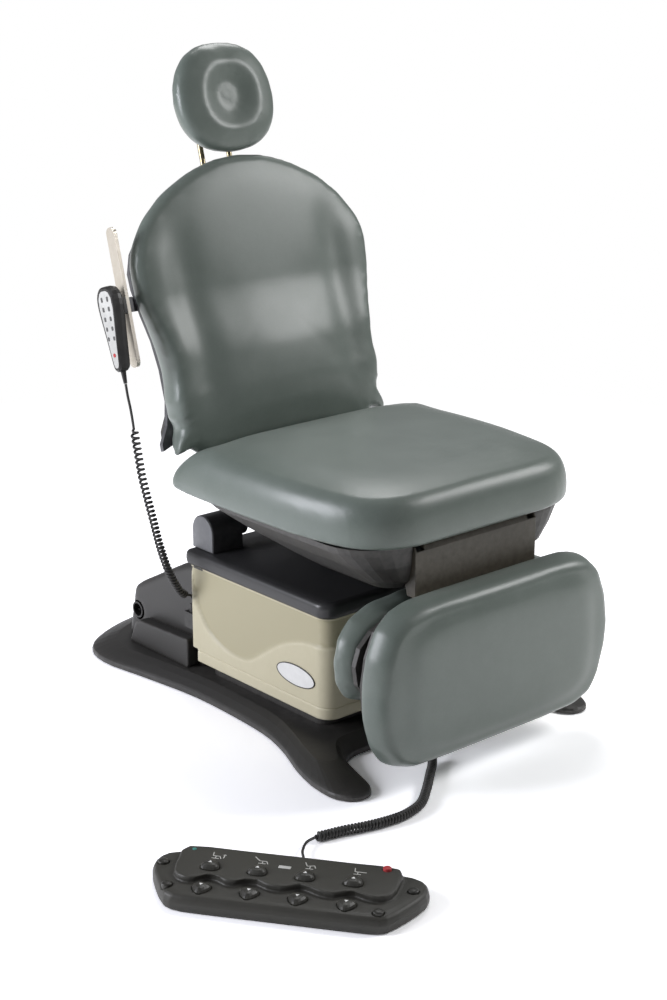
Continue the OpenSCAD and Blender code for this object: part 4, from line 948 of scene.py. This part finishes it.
@dataclass
class Cushion:
    """An upholstered cushion made from its solid: filled, relaxed and shaped by given moves.

    The voxel, the inset under the cover, the cap on its fill and the depth held at its underside
    are in metres. rounds, even, settle and calm count how often the cover, its fill's moves, the
    whole and its face are smoothed. sweep is how far the outline is evened out, in parts of a turn.
    """

    name: str
    node: str
    body: Body
    face: Vector
    voxel: float = 0.007
    inset: float = 0.001
    cap: float = 0.006
    even: int = 14
    fill: float = 0.8
    calm: int = 30
    rounds: int = 8
    settle: int = 2
    sweep: int = 0
    parts: int = 72
    held: float = 0.008
    frames: int = 20
    moves: Callable[[Vector], Vector] | None = None

    def build(self, shop: Workshop) -> bpy.types.Object:
        """Makes the cushion.

        Args:
            shop: The workshop.

        Returns:
            The cushion's object.
        """
        mesh = self._remeshed(shop)
        self._inflate(mesh)
        self._shape(mesh)
        made = shop.mesh_piece(self.name, mesh, VINYL, self.body, [self.node],
                               sharp=180)
        rounder = made.modifiers.new("rounder", "SUBSURF")
        rounder.levels = 1
        rounder.render_levels = 1
        return made

    def _remeshed(self, shop: Workshop) -> bpy.types.Mesh:
        """Even quads over the solid, a little inside it.

        Args:
            shop: The workshop.

        Returns:
            The cover's mesh.
        """
        mesh = even_mesh(shop.merged(self.node), self.voxel, self.name)
        with opened(mesh) as bm:
            relax(bm, bm.verts, self.rounds)
            bm.normal_update()
            for vert in bm.verts:
                if vert.normal.dot(self.face) > -0.5:
                    vert.co -= vert.normal * self.inset
        return mesh

    def _inflate(self, mesh: bpy.types.Mesh) -> None:
        """Fills the cover under pressure, held at its underside, and evens out the capped moves.

        Args:
            mesh: The cover's mesh, changed in place.
        """
        rest = [v.co.copy() for v in mesh.vertices]
        holder = placed(self.name + "_cloth", mesh.copy())
        group = holder.vertex_groups.new(name="held")
        heights = [v.co.dot(self.face) for v in mesh.vertices]
        low = min(heights) + self.held
        group.add([i for i, height in enumerate(heights) if height < low], 1.0, "REPLACE")
        cloth = holder.modifiers.new("cloth", "CLOTH")
        cloth.settings.quality = 4
        cloth.settings.mass = 0.3
        cloth.settings.use_pressure = True
        cloth.settings.uniform_pressure_force = 4.0
        cloth.settings.effector_weights.gravity = 0.0
        cloth.settings.vertex_group_mass = "held"
        cloth.collision_settings.use_collision = False
        cloth.point_cache.frame_start = 1
        cloth.point_cache.frame_end = self.frames
        for step in range(1, self.frames + 1):
            bpy.context.scene.frame_set(step)
        seen = holder.evaluated_get(bpy.context.evaluated_depsgraph_get())
        filled = seen.to_mesh()
        moves = []
        for start, end in zip(rest, filled.vertices):
            move = end.co - start
            far = move.length
            moves.append(move * (self.cap / far) if far > self.cap else move)
        for vert, start, move in zip(mesh.vertices, rest, self._evened(mesh, moves)):
            vert.co = start + move
        seen.to_mesh_clear()
        bpy.data.objects.remove(holder)
        bpy.context.scene.frame_set(1)

    def _evened(self, mesh: bpy.types.Mesh, moves: list[Vector]) -> list[Vector]:
        """Averages each vertex's move with its neighbours', a number of rounds.

        Args:
            mesh: The cover's mesh.
            moves: A move for each of its vertices.

        Returns:
            The averaged moves.
        """
        pairs = [tuple(edge.vertices) for edge in mesh.edges]
        for _ in range(self.even):
            sums = [move.copy() for move in moves]
            counts = [1] * len(moves)
            for a, b in pairs:
                sums[a] += moves[b]
                sums[b] += moves[a]
                counts[a] += 1
                counts[b] += 1
            moves = [total / count for total, count in zip(sums, counts)]
        return moves

    def _shape(self, mesh: bpy.types.Mesh) -> None:
        """Relaxes the cover and makes the given moves.

        Args:
            mesh: The cover's mesh, changed in place.
        """
        with opened(mesh) as bm:
            relax(bm, bm.verts, self.settle)
            bm.normal_update()
            flat = [v for v in bm.verts if v.normal.dot(self.face) > 0.93]
            relax(bm, flat, self.calm)
            if self.sweep:
                self._even_outline(bm)
            if self.moves is not None:
                for vert in bm.verts:
                    vert.co = self.moves(vert.co.copy())

    def _even_outline(self, bm: bmesh.types.BMesh) -> None:
        """Turns the outline, seen from the face of the back, into one smooth curve.

        Args:
            bm: The cover's bmesh.
        """
        turned = BACK_FRAME.inverted()
        places = [turned @ vert.co for vert in bm.verts]
        across = [p.x for p in places]
        along = [p.y for p in places]
        middle = Vector(((min(across) + max(across)) / 2, (min(along) + max(along)) / 2))
        parts = self.parts
        arms = [p.to_2d() - middle for p in places]
        turns = [math.atan2(arm.y, arm.x) / math.tau * parts for arm in arms]
        reach = [0.0] * parts
        for arm, turn in zip(arms, turns):
            k = math.floor(turn) % parts
            reach[k] = max(reach[k], arm.length)
        weights = {j: self.sweep + 1 - abs(j) for j in range(-self.sweep, self.sweep + 1)}
        total = sum(weights.values())
        even = [sum(reach[(k + j) % parts] * w for j, w in weights.items()) / total
                for k in range(parts)]
        for vert, place, arm, turn in zip(bm.verts, places, arms, turns):
            k = math.floor(turn - 0.5)
            part = turn - 0.5 - k
            here, after = k % parts, (k + 1) % parts
            old = reach[here] * (1 - part) + reach[after] * part
            new = even[here] * (1 - part) + even[after] * part
            spot = middle + arm * (new / old)
            vert.co = BACK_FRAME @ Vector((spot.x, spot.y, place.z))


@dataclass
class Upholstery:
    """The five cushions and the moves that finish them. Moves work in millimetres."""

    seat_rear: float = 90.0
    seat_half: float = 320.0
    corner_out: float = 18.0
    corner_back: float = 10.0
    rear_rise: float = 5.0
    back_thick: float = 72.0
    top_rise: float = 9.0
    foot_tuck: float = 12.0
    waist_out: float = 20.0
    waist_in: float = 0.022
    hollow_x: float = 205.0
    hollow_half: float = 42.0
    hollow_deep: float = 9.0
    leg_half: tuple[float, float] = (330.0, 175.0)
    leg_middle: float = 221.0
    band_deep: float = 2.4
    head_half: tuple[float, float] = (126.0, 114.0)
    head_middle: float = 792.0
    dish_old: float = 20.0
    dish_new: float = 15.0

    def build(self, shop: Workshop) -> None:
        """Makes every cushion.

        Args:
            shop: The workshop.
        """
        up = Vector((0, 0, 1))
        out = BACK_FRAME.to_3x3() @ up
        front = Vector((0, -1, 0))
        cushions = [
            Cushion("seat_cushion", "seat_pad", Body.SEAT, up, voxel=0.008, moves=self._seat),
            Cushion("back_cushion", "back_pad", Body.BACK, out, voxel=0.008, inset=0.0, rounds=10,
                    sweep=2, moves=self._back),
            Cushion("leg_cushion", "leg_pad", Body.LEG, front, moves=self._leg),
            Cushion("footrest_cushion", "footrest_pad", Body.LEG, -front, voxel=0.006),
            Cushion("headrest_cushion", "headrest_pad", Body.HEADREST, out, voxel=0.005, inset=0.0,
                    rounds=12, calm=0, sweep=4, moves=self._headrest),
        ]
        for cushion in cushions:
            cushion.build(shop)

    def _seat(self, place: Vector) -> Vector:
        """Draws the rear corners out to points and lifts the rear edge.

        Args:
            place: A point of the cover, in metres in the row frame.

        Returns:
            The point after the move.
        """
        p = place / MM
        corner = (soft_step((p.y - self.seat_rear + 70) / 70)
                  * soft_step((abs(p.x) - self.seat_half + 80) / 80))
        p.x += math.copysign(self.corner_out * corner, p.x)
        p.y += self.corner_back * corner
        rear = soft_step((p.y - self.seat_rear + 80) / 60) * soft_step((p.z - 545) / 30)
        p.z += self.rear_rise * rear
        return p * MM

    def _back(self, place: Vector) -> Vector:
        """Raises the top, brings the waist forward and hollows the face beside its middle.

        Args:
            place: A point of the cover, in metres in the row frame.

        Returns:
            The point after the move.
        """
        p = BACK_FRAME.inverted() @ place / MM
        front = max(0.0, min(1.0, p.z / self.back_thick))
        waist = soft_step((p.y - 60) / 130) * soft_step((400 - p.y) / 150)
        hollow = math.exp(-((abs(p.x) - self.hollow_x) / self.hollow_half) ** 2)
        tall = soft_step((p.y - 90) / 120) * soft_step((600 - p.y) / 170)
        p.y += (self.top_rise * soft_step((p.y - 480) / 180)
                - self.foot_tuck * soft_step((130 - p.y) / 90))
        p.z += front * (self.waist_out * waist - self.hollow_deep * hollow * tall)
        p.x *= 1 - self.waist_in * waist
        return BACK_FRAME @ (p * MM)

    def _leg(self, place: Vector) -> Vector:
        """Presses a shallow band inside the rim of the leg cushion's face.

        Args:
            place: A point of the cover, in metres in the row frame.

        Returns:
            The point after the move.
        """
        p = place / MM
        across = abs(p.x) / self.leg_half[0]
        tall = abs(p.z - self.leg_middle) / self.leg_half[1]
        reach = (across ** 5 + tall ** 5) ** 0.2
        face = soft_step((-p.y - 575) / 15)
        p.y += self.band_deep * face * math.exp(-((reach - 0.8) / 0.07) ** 2)
        return p * MM

    def _headrest(self, place: Vector) -> Vector:
        """Widens the lower half and makes the face's hollow broad and flat.

        Args:
            place: A point of the cover, in metres in the row frame.

        Returns:
            The point after the move.
        """
        p = BACK_FRAME.inverted() @ place / MM
        x, y = p.x / self.head_half[0], (p.y - self.head_middle) / self.head_half[1]
        deep = self.dish_old * math.exp(-((x / 0.34) ** 2 + (y / 0.42) ** 2))
        broad = self.dish_new * (1 - soft_step((math.hypot(x, y * 0.9) - 0.16) / 0.46))
        p.z += soft_step((p.z - 30) / 16) * (deep - broad)
        low = soft_step((860 - p.y) / 130)
        p.x *= 1 + 0.03 * low
        p.y -= 5 * soft_step((800 - p.y) / 60)
        return BACK_FRAME @ (p * MM)


@dataclass
class Carriage:
    """Beige shroud with its wavy step, badge, tray and pivot caps. Sizes are in millimetres."""

    half_x: float = 230.0
    half_y: float = 226.0
    centre_y: float = -104.0
    corner: float = 34.0
    rear_corner: float = 12.0
    tray_lip: float = 13.0
    tray_height: float = 35.0
    low: float = 68.0
    height: float = 222.0
    recess: float = 5.0
    step_width: float = 7.0
    lip: float = 8.0
    lip_fade: float = 3.0
    fine_level: float = 1.0
    coarse_level: float = 3.0
    groove_z: float = 93.0
    groove_half: float = 1.6
    groove_deep: float = 1.3
    foot_rise: float = 2.0
    foot_in: float = 0.8
    notch_y: float = 96.0
    notch_z: float = 98.0
    wall: float = 4.0
    badge_y: float = -234.0
    badge_z: float = 142.0
    badge_half: tuple[float, float] = (59.8, 22.8)
    rim_sunk: float = 0.6
    slot_span: tuple[float, float] = (76.0, 104.0)
    slot_z: float = 284.0
    slot_half: float = 2.2
    pivot_x: float = 220.0
    pivot_y: float = 83.0
    pivot_z: float = 366.0
    pivot_low: float = 327.0
    cap_half: float = 34.0
    cap_rise: float = 2.2

    rim_steps = [(0.2, 2.0), (-0.5, 2.5), (-1.5, 2.5), (-2.0, 1.2)]
    wave = [(0.0, 0.7), (0.12, 0.695), (0.23, 0.65), (0.34, 0.55), (0.45, 0.4), (0.55, 0.27),
            (0.64, 0.235), (0.75, 0.26), (0.86, 0.36), (0.94, 0.55), (0.985, 0.78), (1.0, 0.96)]
    roll = [(0.0, 0.54), (0.14, 0.15), (0.4, 0.0), (0.72, 0.08), (0.9, 0.38), (1.0, 1.0)]

    def build(self, shop: Workshop) -> None:
        """Makes the carriage's pieces.

        Args:
            shop: The workshop.
        """
        self._shroud(shop)
        self._tray(shop)
        self._badge_shadow_rim(shop)
        self._slit_shade(shop)
        self._pivot_caps(shop)

    def _wave_height(self, y: float) -> float:
        """Height of the step at a place along the side, in millimetres.

        Args:
            y: Place along the side.

        Returns:
            The step's height above the floor.
        """
        share = max(0.0, min(1.0, (y - self.centre_y + self.half_y) / (self.half_y * 2)))
        knots = [Vector((a, b, 0)) for a, b in self.wave]
        for i in range(len(knots) - 1):
            if share <= knots[i + 1].x:
                part = (share - knots[i].x) / (knots[i + 1].x - knots[i].x)
                return self.low + route_at(knots, i + part).y * self.height
        return self.low + knots[-1].y * self.height

    def _plan(self, half_x: float, half_y: float) -> list[tuple[Vector, Vector]]:
        """Points round a box that is round at the front and squarer at the rear.

        Args:
            half_x: Half its width.
            half_y: Half its depth.

        Returns:
            Points from the box's centre, each with its outward direction.
        """
        points = []
        for corner in range(4):
            sx = 1 if corner in (0, 3) else -1
            sy = 1 if corner < 2 else -1
            radius = self.rear_corner if corner < 2 else self.corner
            centre = Vector((sx * (half_x - radius), sy * (half_y - radius), 0))
            for s in range(11):
                angle = math.radians((corner + s / 10) * 90)
                out = Vector((math.cos(angle), math.sin(angle), 0))
                points.append((centre + out * radius, out))
        dense = []
        for i, (place, out) in enumerate(points):
            after = points[(i + 1) % len(points)][0]
            dense.append((place, out))
            gap = (after - place).length
            extra = int(gap // 6) if gap > 12 else 0
            for k in range(1, extra):
                dense.append((place.lerp(after, k / extra), out))
        return dense

    def _shroud(self, shop: Workshop) -> None:
        """Shroud: rings of points whose upper field steps in along the wave.

        Args:
            shop: The workshop.
        """
        plan = self._plan(self.half_x, self.half_y)
        top = self.low + self.height
        levels = [self.low, self.low + self.foot_rise]
        z = levels[-1]
        while z < top - 0.1:
            fine = abs(z - self.groove_z) < 4 or top - z < self.lip + 4
            z += self.fine_level if fine else self.coarse_level
            levels.append(min(z, top))
        bm = bmesh.new()
        field = bm.verts.layers.float.new("upper_field")

        def place(index: int, level: float) -> Vector:
            """Finds a point of the shroud's surface.

            Args:
                index: Number of the point in the plan.
                level: Height above the floor.

            Returns:
                The point, in metres.
            """
            point, out = plan[index]
            y = point.y + self.centre_y
            inward = self._depth(y, level)
            return (Vector((point.x, y, level)) - out * inward) * MM

        edges = ring(bm, [place(i, levels[0]) for i in range(len(plan))])
        bm.verts.ensure_lookup_table()
        order = {bm.verts[i]: i for i in range(len(plan))}
        for level in levels[1:]:
            edges, order = raise_ring(bm, edges, order)
            for vert, i in order.items():
                vert.co = place(i, level)
                vert[field] = self._upper(plan[i][0].y + self.centre_y, level)
        cut = [f for f in bm.faces if f.calc_center_median().y > self.notch_y * MM
               and f.calc_center_median().z < self.notch_z * MM]
        bmesh.ops.delete(bm, geom=cut, context="FACES")
        bmesh.ops.recalc_face_normals(bm, faces=bm.faces)
        piece = shop.piece("carriage_shroud_shell", bm, BEIGE, Body.CARRIAGE, Slot.BEIGE,
                           ["carriage_shroud"], sharp=50)
        thick = piece.modifiers.new("wall", "SOLIDIFY")
        thick.thickness = self.wall * MM
        thick.offset = -1.0

    def _tray(self, shop: Workshop) -> None:
        """Tray on the shroud, with a rolled lip.

        Args:
            shop: The workshop.
        """
        plan = self._plan(self.half_x + self.tray_lip, self.half_y + self.tray_lip / 2)
        middle = Vector((0, self.centre_y - self.tray_lip / 2, self.low + self.height))
        knots = [Vector((a, b, 0)) for a, b in self.roll]
        steps = 4
        bm = bmesh.new()
        edges = []
        for k in range((len(knots) - 1) * steps + 1):
            level = route_at(knots, k / steps)
            rise = Vector((0, 0, level.x * self.tray_height))
            points = [(middle + rise + p - out * level.y * self.tray_lip) * MM for p, out in plan]
            fresh = ring(bm, points)
            if edges:
                bmesh.ops.bridge_loops(bm, edges=edges + fresh)
            else:
                bmesh.ops.holes_fill(bm, edges=fresh, sides=0)
            edges = fresh
        bmesh.ops.holes_fill(bm, edges=edges, sides=0)
        bmesh.ops.recalc_face_normals(bm, faces=bm.faces)
        shop.piece("carriage_tray_top", bm, TRAY_BLACK, Body.CARRIAGE, Slot.BLACK,
                   ["carriage_tray"], sharp=50)

    def _upper(self, y: float, level: float) -> float:
        """Share of the recessed upper field at a place, fading out under the tray's lip.

        Args:
            y: Place along the shroud.
            level: Height above the floor.

        Returns:
            The share, from 0 to 1.
        """
        over_wave = soft_step((level - self._wave_height(y)) / self.step_width + 0.5)
        under_lip = soft_step((self.low + self.height - self.lip - level) / self.lip_fade + 0.5)
        return over_wave * under_lip

    def _depth(self, y: float, level: float) -> float:
        """How far the surface lies inside the plan, in millimetres.

        Args:
            y: Place along the shroud.
            level: Height above the floor.

        Returns:
            The depth there of the recess, of the parting groove and of the foot's edge.
        """
        upper = self._upper(y, level) * self.recess
        groove = max(0.0, 1.0 - abs(level - self.groove_z) / self.groove_half) * self.groove_deep
        edge = max(0.0, 1.0 - (level - self.low) / self.foot_rise) * self.foot_in
        return upper + groove + edge

    def _badge_shadow_rim(self, shop: Workshop) -> None:
        """Thin dark rim round the bare oval plate, a painted shadow at the plate's edge.

        Args:
            shop: The workshop.
        """
        bm = bmesh.new()
        made = bmesh.ops.create_circle(bm, segments=72, radius=1.0, cap_ends=False)
        edges = bm.edges[:]
        centre = Vector((-self.half_x, self.badge_y, self.badge_z))
        half_y, half_z = self.badge_half

        def rim_at(start: Vector, grow: float, out: float) -> Vector:
            """Point of the rim, in metres, grown round the plate and standing out from it."""
            across, along = start.x * (half_y + grow), start.y * (half_z + grow)
            return (centre + Vector((-out, across, along))) * MM

        circle = {v: v.co.copy() for v in made["verts"]}
        for vert, start in circle.items():
            vert.co = rim_at(start, 0.0, -self.rim_sunk)
        for grow, out in self.rim_steps:
            edges, circle = raise_ring(bm, edges, circle)
            for vert, start in circle.items():
                vert.co = rim_at(start, grow, out)
        bmesh.ops.recalc_face_normals(bm, faces=bm.faces)
        # The rim's black is painted shadow round the plate.
        shop.piece("badge_shadow_rim", bm, CASE_BLACK, Body.CARRIAGE, Slot.BADGE)
        shop.dress("badge_plate", BADGE_WHITE, 0.0004)

    def _slit_shade(self, shop: Workshop) -> None:
        """Thin black sheet under the tray, at the rear of the side: the painted shade of a slit.

        Args:
            shop: The workshop.
        """
        bm = bmesh.new()
        outline = []
        for end, turn in ((self.slot_span[1], -90), (self.slot_span[0], 90)):
            outline += [Vector((-self.half_x, end + c.x, self.slot_z + c.y))
                        for c in arc(self.slot_half, turn, turn + 180, 9)]
        slab(bm, [p * MM for p in outline], Vector((-0.3, 0, 0)) * MM)
        # A black sheet on the surface stands for the shade inside the slit.
        shop.piece("shroud_slit_shade", bm, CASE_BLACK, Body.CARRIAGE, Slot.SOCKET)

    def _pivot_caps(self, shop: Workshop) -> None:
        """Grey D-shaped caps on the outer ends of the two pivot housings.

        Args:
            shop: The workshop.
        """
        bm = bmesh.new()
        for side in (-1, 1):
            x = side * self.pivot_x
            outline = [Vector((x, self.pivot_y + way * self.cap_half, self.pivot_low))
                       for way in (-1, 1)]
            outline += [Vector((x, self.pivot_y + c.x, self.pivot_z + c.y))
                        for c in arc(self.cap_half, 0, 180, 20)]
            slab(bm, [p * MM for p in outline], Vector((side * self.cap_rise, 0, 0)) * MM, 0.8 * MM)
        shop.piece("pivot_caps", bm, PIVOT_GREY, Body.CARRIAGE, Slot.PIVOT)


@dataclass
class HandControlMarks:
    """Generic marks on the hand control's bare label. Sizes are in millimetres."""

    label_x: float = -384.0
    centre_v: float = 344.0
    centre_w: float = 36.0
    rows: int = 5
    row_first: float = -18.0
    row_pitch: float = 20.0
    key_w: float = 10.0
    key_half: tuple[float, float] = (5.2, 3.4)
    key_less: float = 0.25
    stop_v: float = -52.0
    stop_radius: float = 4.2

    def build(self, shop: Workshop) -> None:
        """Prints rows of key outlines and the red stop key.

        Args:
            shop: The workshop.
        """
        bm = bmesh.new()
        for row in range(self.rows):
            half_v = self.key_half[0] - self.key_less * (self.rows - 1 - row)
            corners = [Vector((math.copysign(abs(c.x) ** 0.6, c.x) * half_v,
                               math.copysign(abs(c.y) ** 0.6, c.y) * self.key_half[1]))
                       for c in arc(1.0, 0, 360, 16)[:-1]]
            for side in (-1, 1):
                v = self.row_first + row * self.row_pitch
                self._key(bm, v, side * self.key_w, corners, 0.5, 0.1)
        shop.piece("hand_control_marks", bm, PRINT_DARK, Body.HAND_CONTROL, Slot.LABEL)
        red = bmesh.new()
        self._key(red, self.stop_v, 0.0, arc(self.stop_radius, 0, 360, 24)[:-1], 0.8, 0.15)
        shop.piece("hand_control_stop", red, STOP_RED, Body.HAND_CONTROL, Slot.STOP)

    def _place(self, v: float, w: float, out: float) -> Vector:
        """Point on the label from its centre, in metres in the row frame."""
        place = Vector((self.label_x - out, self.centre_v + v, self.centre_w + w))
        return BACK_FRAME @ (place * MM)

    def _key(self, bm: bmesh.types.BMesh, v: float, w: float, outline: Sequence[Vector],
             out: float, edge: float) -> None:
        """Adds one low key.

        Args:
            bm: The keys' bmesh.
            v: Its place along the label.
            w: Its place across the label.
            outline: Its corners, from its middle.
            out: How far it stands out.
            edge: Width of its softened rims.
        """
        rise = self._place(0, 0, out) - self._place(0, 0, 0.0)
        slab(bm, [self._place(v + c.x, w + c.y, 0.0) for c in outline], rise, edge * MM)


@dataclass
class FootControlMarks:
    """Arrows, chair signs, lamp and bare label of the foot control. Sizes are in millimetres."""

    first: float = -135.0
    pitch: float = 85.0
    upper_y: float = 8.0
    lower_y: float = -50.0
    tier: float = 44.0
    shelf: float = 32.0
    rise: float = 9.0
    arrow: float = 3.7
    sign_y: float = 45.0
    sign_grow: float = 1.9
    stroke_half: float = 0.85
    lamp_x: float = -180.0
    lamp_y: float = 61.0
    lamp_radius: float = 4.0

    keys = ["base", "back", "tilt", "leg"]
    label = [(-19, 28), (3, 28), (3, 37), (-19, 37)]

    def build(self, shop: Workshop) -> None:
        """Adds every mark.

        Args:
            shop: The workshop.
        """
        for i, key in enumerate(self.keys):
            x = self.first + i * self.pitch
            self._arrow(shop, f"{key}_up", x, self.upper_y, self.tier + self.rise, 1)
            self._arrow(shop, f"{key}_down", x, self.lower_y, self.shelf + self.rise, -1)
        signs = bmesh.new()
        for i in range(4):
            self._chair(signs, i)
        shop.piece("foot_control_signs", signs, PRINT_GREY, Body.BASE, Slot.LABEL)
        label = bmesh.new()
        corners = [self._at(x, y, self.tier) for x, y in self.label]
        slab(label, corners, Vector((0, 0, 0.4)) * MM, 0.15 * MM)
        shop.piece("foot_control_label", label, LABEL_GREY, Body.BASE, Slot.LABEL)
        lamp = bmesh.new()
        rim = [self._at(self.lamp_x + c.x, self.lamp_y + c.y, self.tier - 1.5)
               for c in arc(self.lamp_radius, 0, 360, 20)[:-1]]
        slab(lamp, rim, Vector((0, 0, 2.3)) * MM, 0.5 * MM)
        shop.piece("foot_control_lamp", lamp, LAMP_GREEN, Body.BASE, Slot.LABEL)

    @staticmethod
    def _at(x: float, y: float, z: float) -> Vector:
        """Point of the foot control, in metres in the row frame."""
        return PEDAL_FRAME @ (Vector((x, y, z)) * MM)

    def _arrow(self, shop: Workshop, key: str, x: float, y: float, top: float, way: int) -> None:
        """Adds a white triangle that lies on a button's dome.

        Args:
            shop: The workshop.
            key: The button's key name, as in its body.
            x: The button's place across the control.
            y: Its place from front to rear.
            top: Height of the dome's top.
            way: 1 for an arrow that points to the rear, -1 for one to the front.
        """
        bm = bmesh.new()
        size = self.arrow
        corners = [(0.0, size), (-size * 0.95, -size * 0.7), (size * 0.95, -size * 0.7)]
        points = [self._at(x + cx, y + way * cy, top - 0.3) for cx, cy in corners]
        slab(bm, points, Vector((0, 0, 0.55)) * MM)
        shop.piece(f"arrow_{key}", bm, PRINT_WHITE, f"key_{key}", Slot.LABEL)

    def _chair(self, bm: bmesh.types.BMesh, index: int) -> None:
        """Adds a thin line sign of a chair behind an upper button.

        Args:
            bm: The signs' bmesh.
            index: Which button it belongs to.
        """
        middle = Vector((self.first + index * self.pitch, self.sign_y, 0))
        recline = [0.0, 5.0, 2.0, 0.0][index]
        tip = [0.0, 0.0, 2.0, 0.0][index]
        raised = [0.0, 0.0, 0.0, 4.5][index]
        strokes = [((-4 - recline, 6.5), (-3, 0)), ((-3, 0), (3.5, tip)),
                   ((3.5, tip), (5.5 + raised / 2, tip - 4.5 + raised)), ((0, 0), (0, -4.5)),
                   ((-3.5, -4.5), (3.5, -4.5))]
        if index == 0:
            strokes += [((7.5, -3), (7.5, 4)), ((6.2, 2.4), (7.5, 4)), ((8.8, 2.4), (7.5, 4))]
        for start, end in strokes:
            a, b = (middle + Vector((*knob, 0)) * self.sign_grow for knob in (start, end))
            along = b - a
            side = Vector((-along.y, along.x, 0)).normalized() * self.stroke_half
            outline = [self._at(p.x, p.y, self.tier - 0.2)
                       for p in (a - side, b - side, b + side, a + side)]
            slab(bm, outline, Vector((0, 0, 0.45)) * MM)


class FrameNodes:
    """Finishes of the CAD nodes that keep their own solids."""

    plain = {
        COVER_BLACK: [("base_cover", 0.0), ("lower_skirt", 0.001), ("middle_shroud", 0.001),
                      ("back_cover", 0.0), ("seat_shell", 0.0), ("leg_board", 0.001),
                      ("footrest_board", 0.001)],
        TRAY_BLACK: [("pivot_housings", 0.001)],
        SOCKET_BLACK: [("power_inlet", 0.0005), ("foot_cord_socket", 0.0008),
                       ("hand_cord_socket", 0.0008)],
        PAINTED_STEEL: [("base_frame", 0.001), ("seat_frame", 0.001), ("back_frame", 0.001),
                        ("leg_frame", 0.001), ("seat_actuators", 0.001), ("tilt_actuator", 0.001)],
        COLUMN_ALUMINIUM: [("column_outer", 0.001), ("column_middle", 0.001),
                           ("column_inner", 0.001), ("control_box", 0.001)],
        BRIGHT_STEEL: [("tilt_shaft", 0.001), ("tilt_rod", 0.0008), ("back_rod", 0.0008),
                       ("leg_rod", 0.0008), ("hinge_pins", 0.0008)],
        ROD_STEEL: [("headrest_rods", 0.0006)],
        RAIL_SILVER: [("accessory_rail", 0.0012)],
        CASE_BLACK: [("control_holder", 0.0012), ("hand_control_shell", 0.0)],
        LABEL_GREY: [("hand_control_keypad", 0.0004)],
        BRACKET_BROWN: [("leg_hinge_cover", 0.0012)],
        PEDAL_OLIVE: [("foot_control_base", 0.0005)],
        CIRCUIT_GREEN: [("foot_control_board", 0.0003)],
        STOP_RED: [("button_stop", 0.0)],
    }

    def build(self, shop: Workshop) -> None:
        """Dresses every node that stays.

        Args:
            shop: The workshop.
        """
        for finish, nodes in self.plain.items():
            for node, edge in nodes:
                shop.dress(node, finish, edge)
        domes = [f"button_{key}_{way}" for key in FootControlMarks.keys for way in ("up", "down")]
        for node in domes + [f"memory_button_{i}" for i in range(1, 5)]:
            shop.dress(node, DOME_RUBBER)
        mouldings = [
            Moulding("rear_housing_moulding", "rear_housing", Slot.BLACK, COVER_BLACK,
                     voxel=0.0035, rounds=14, keep=0.3),
            Moulding("side_step_mouldings", "side_steps", Slot.BLACK, COVER_BLACK,
                     voxel=0.0025, rounds=10, keep=0.35),
            Moulding("foot_control_case", "foot_control_shell", Slot.PEDAL, PEDAL_OLIVE,
                     voxel=0.0016, rounds=6, keep=0.35),
        ]
        for moulding in mouldings:
            moulding.build(shop)


def main() -> None:
    """Builds the scene in order."""
    logging.basicConfig(level=logging.INFO, format="%(name)s %(message)s")
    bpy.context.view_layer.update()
    Studio().build()
    shop = Workshop()
    Cords().build(shop)
    FrameNodes().build(shop)
    Upholstery().build(shop)
    Carriage().build(shop)
    HandControlMarks().build(shop)
    FootControlMarks().build(shop)


if __name__ == "__main__":
    main()
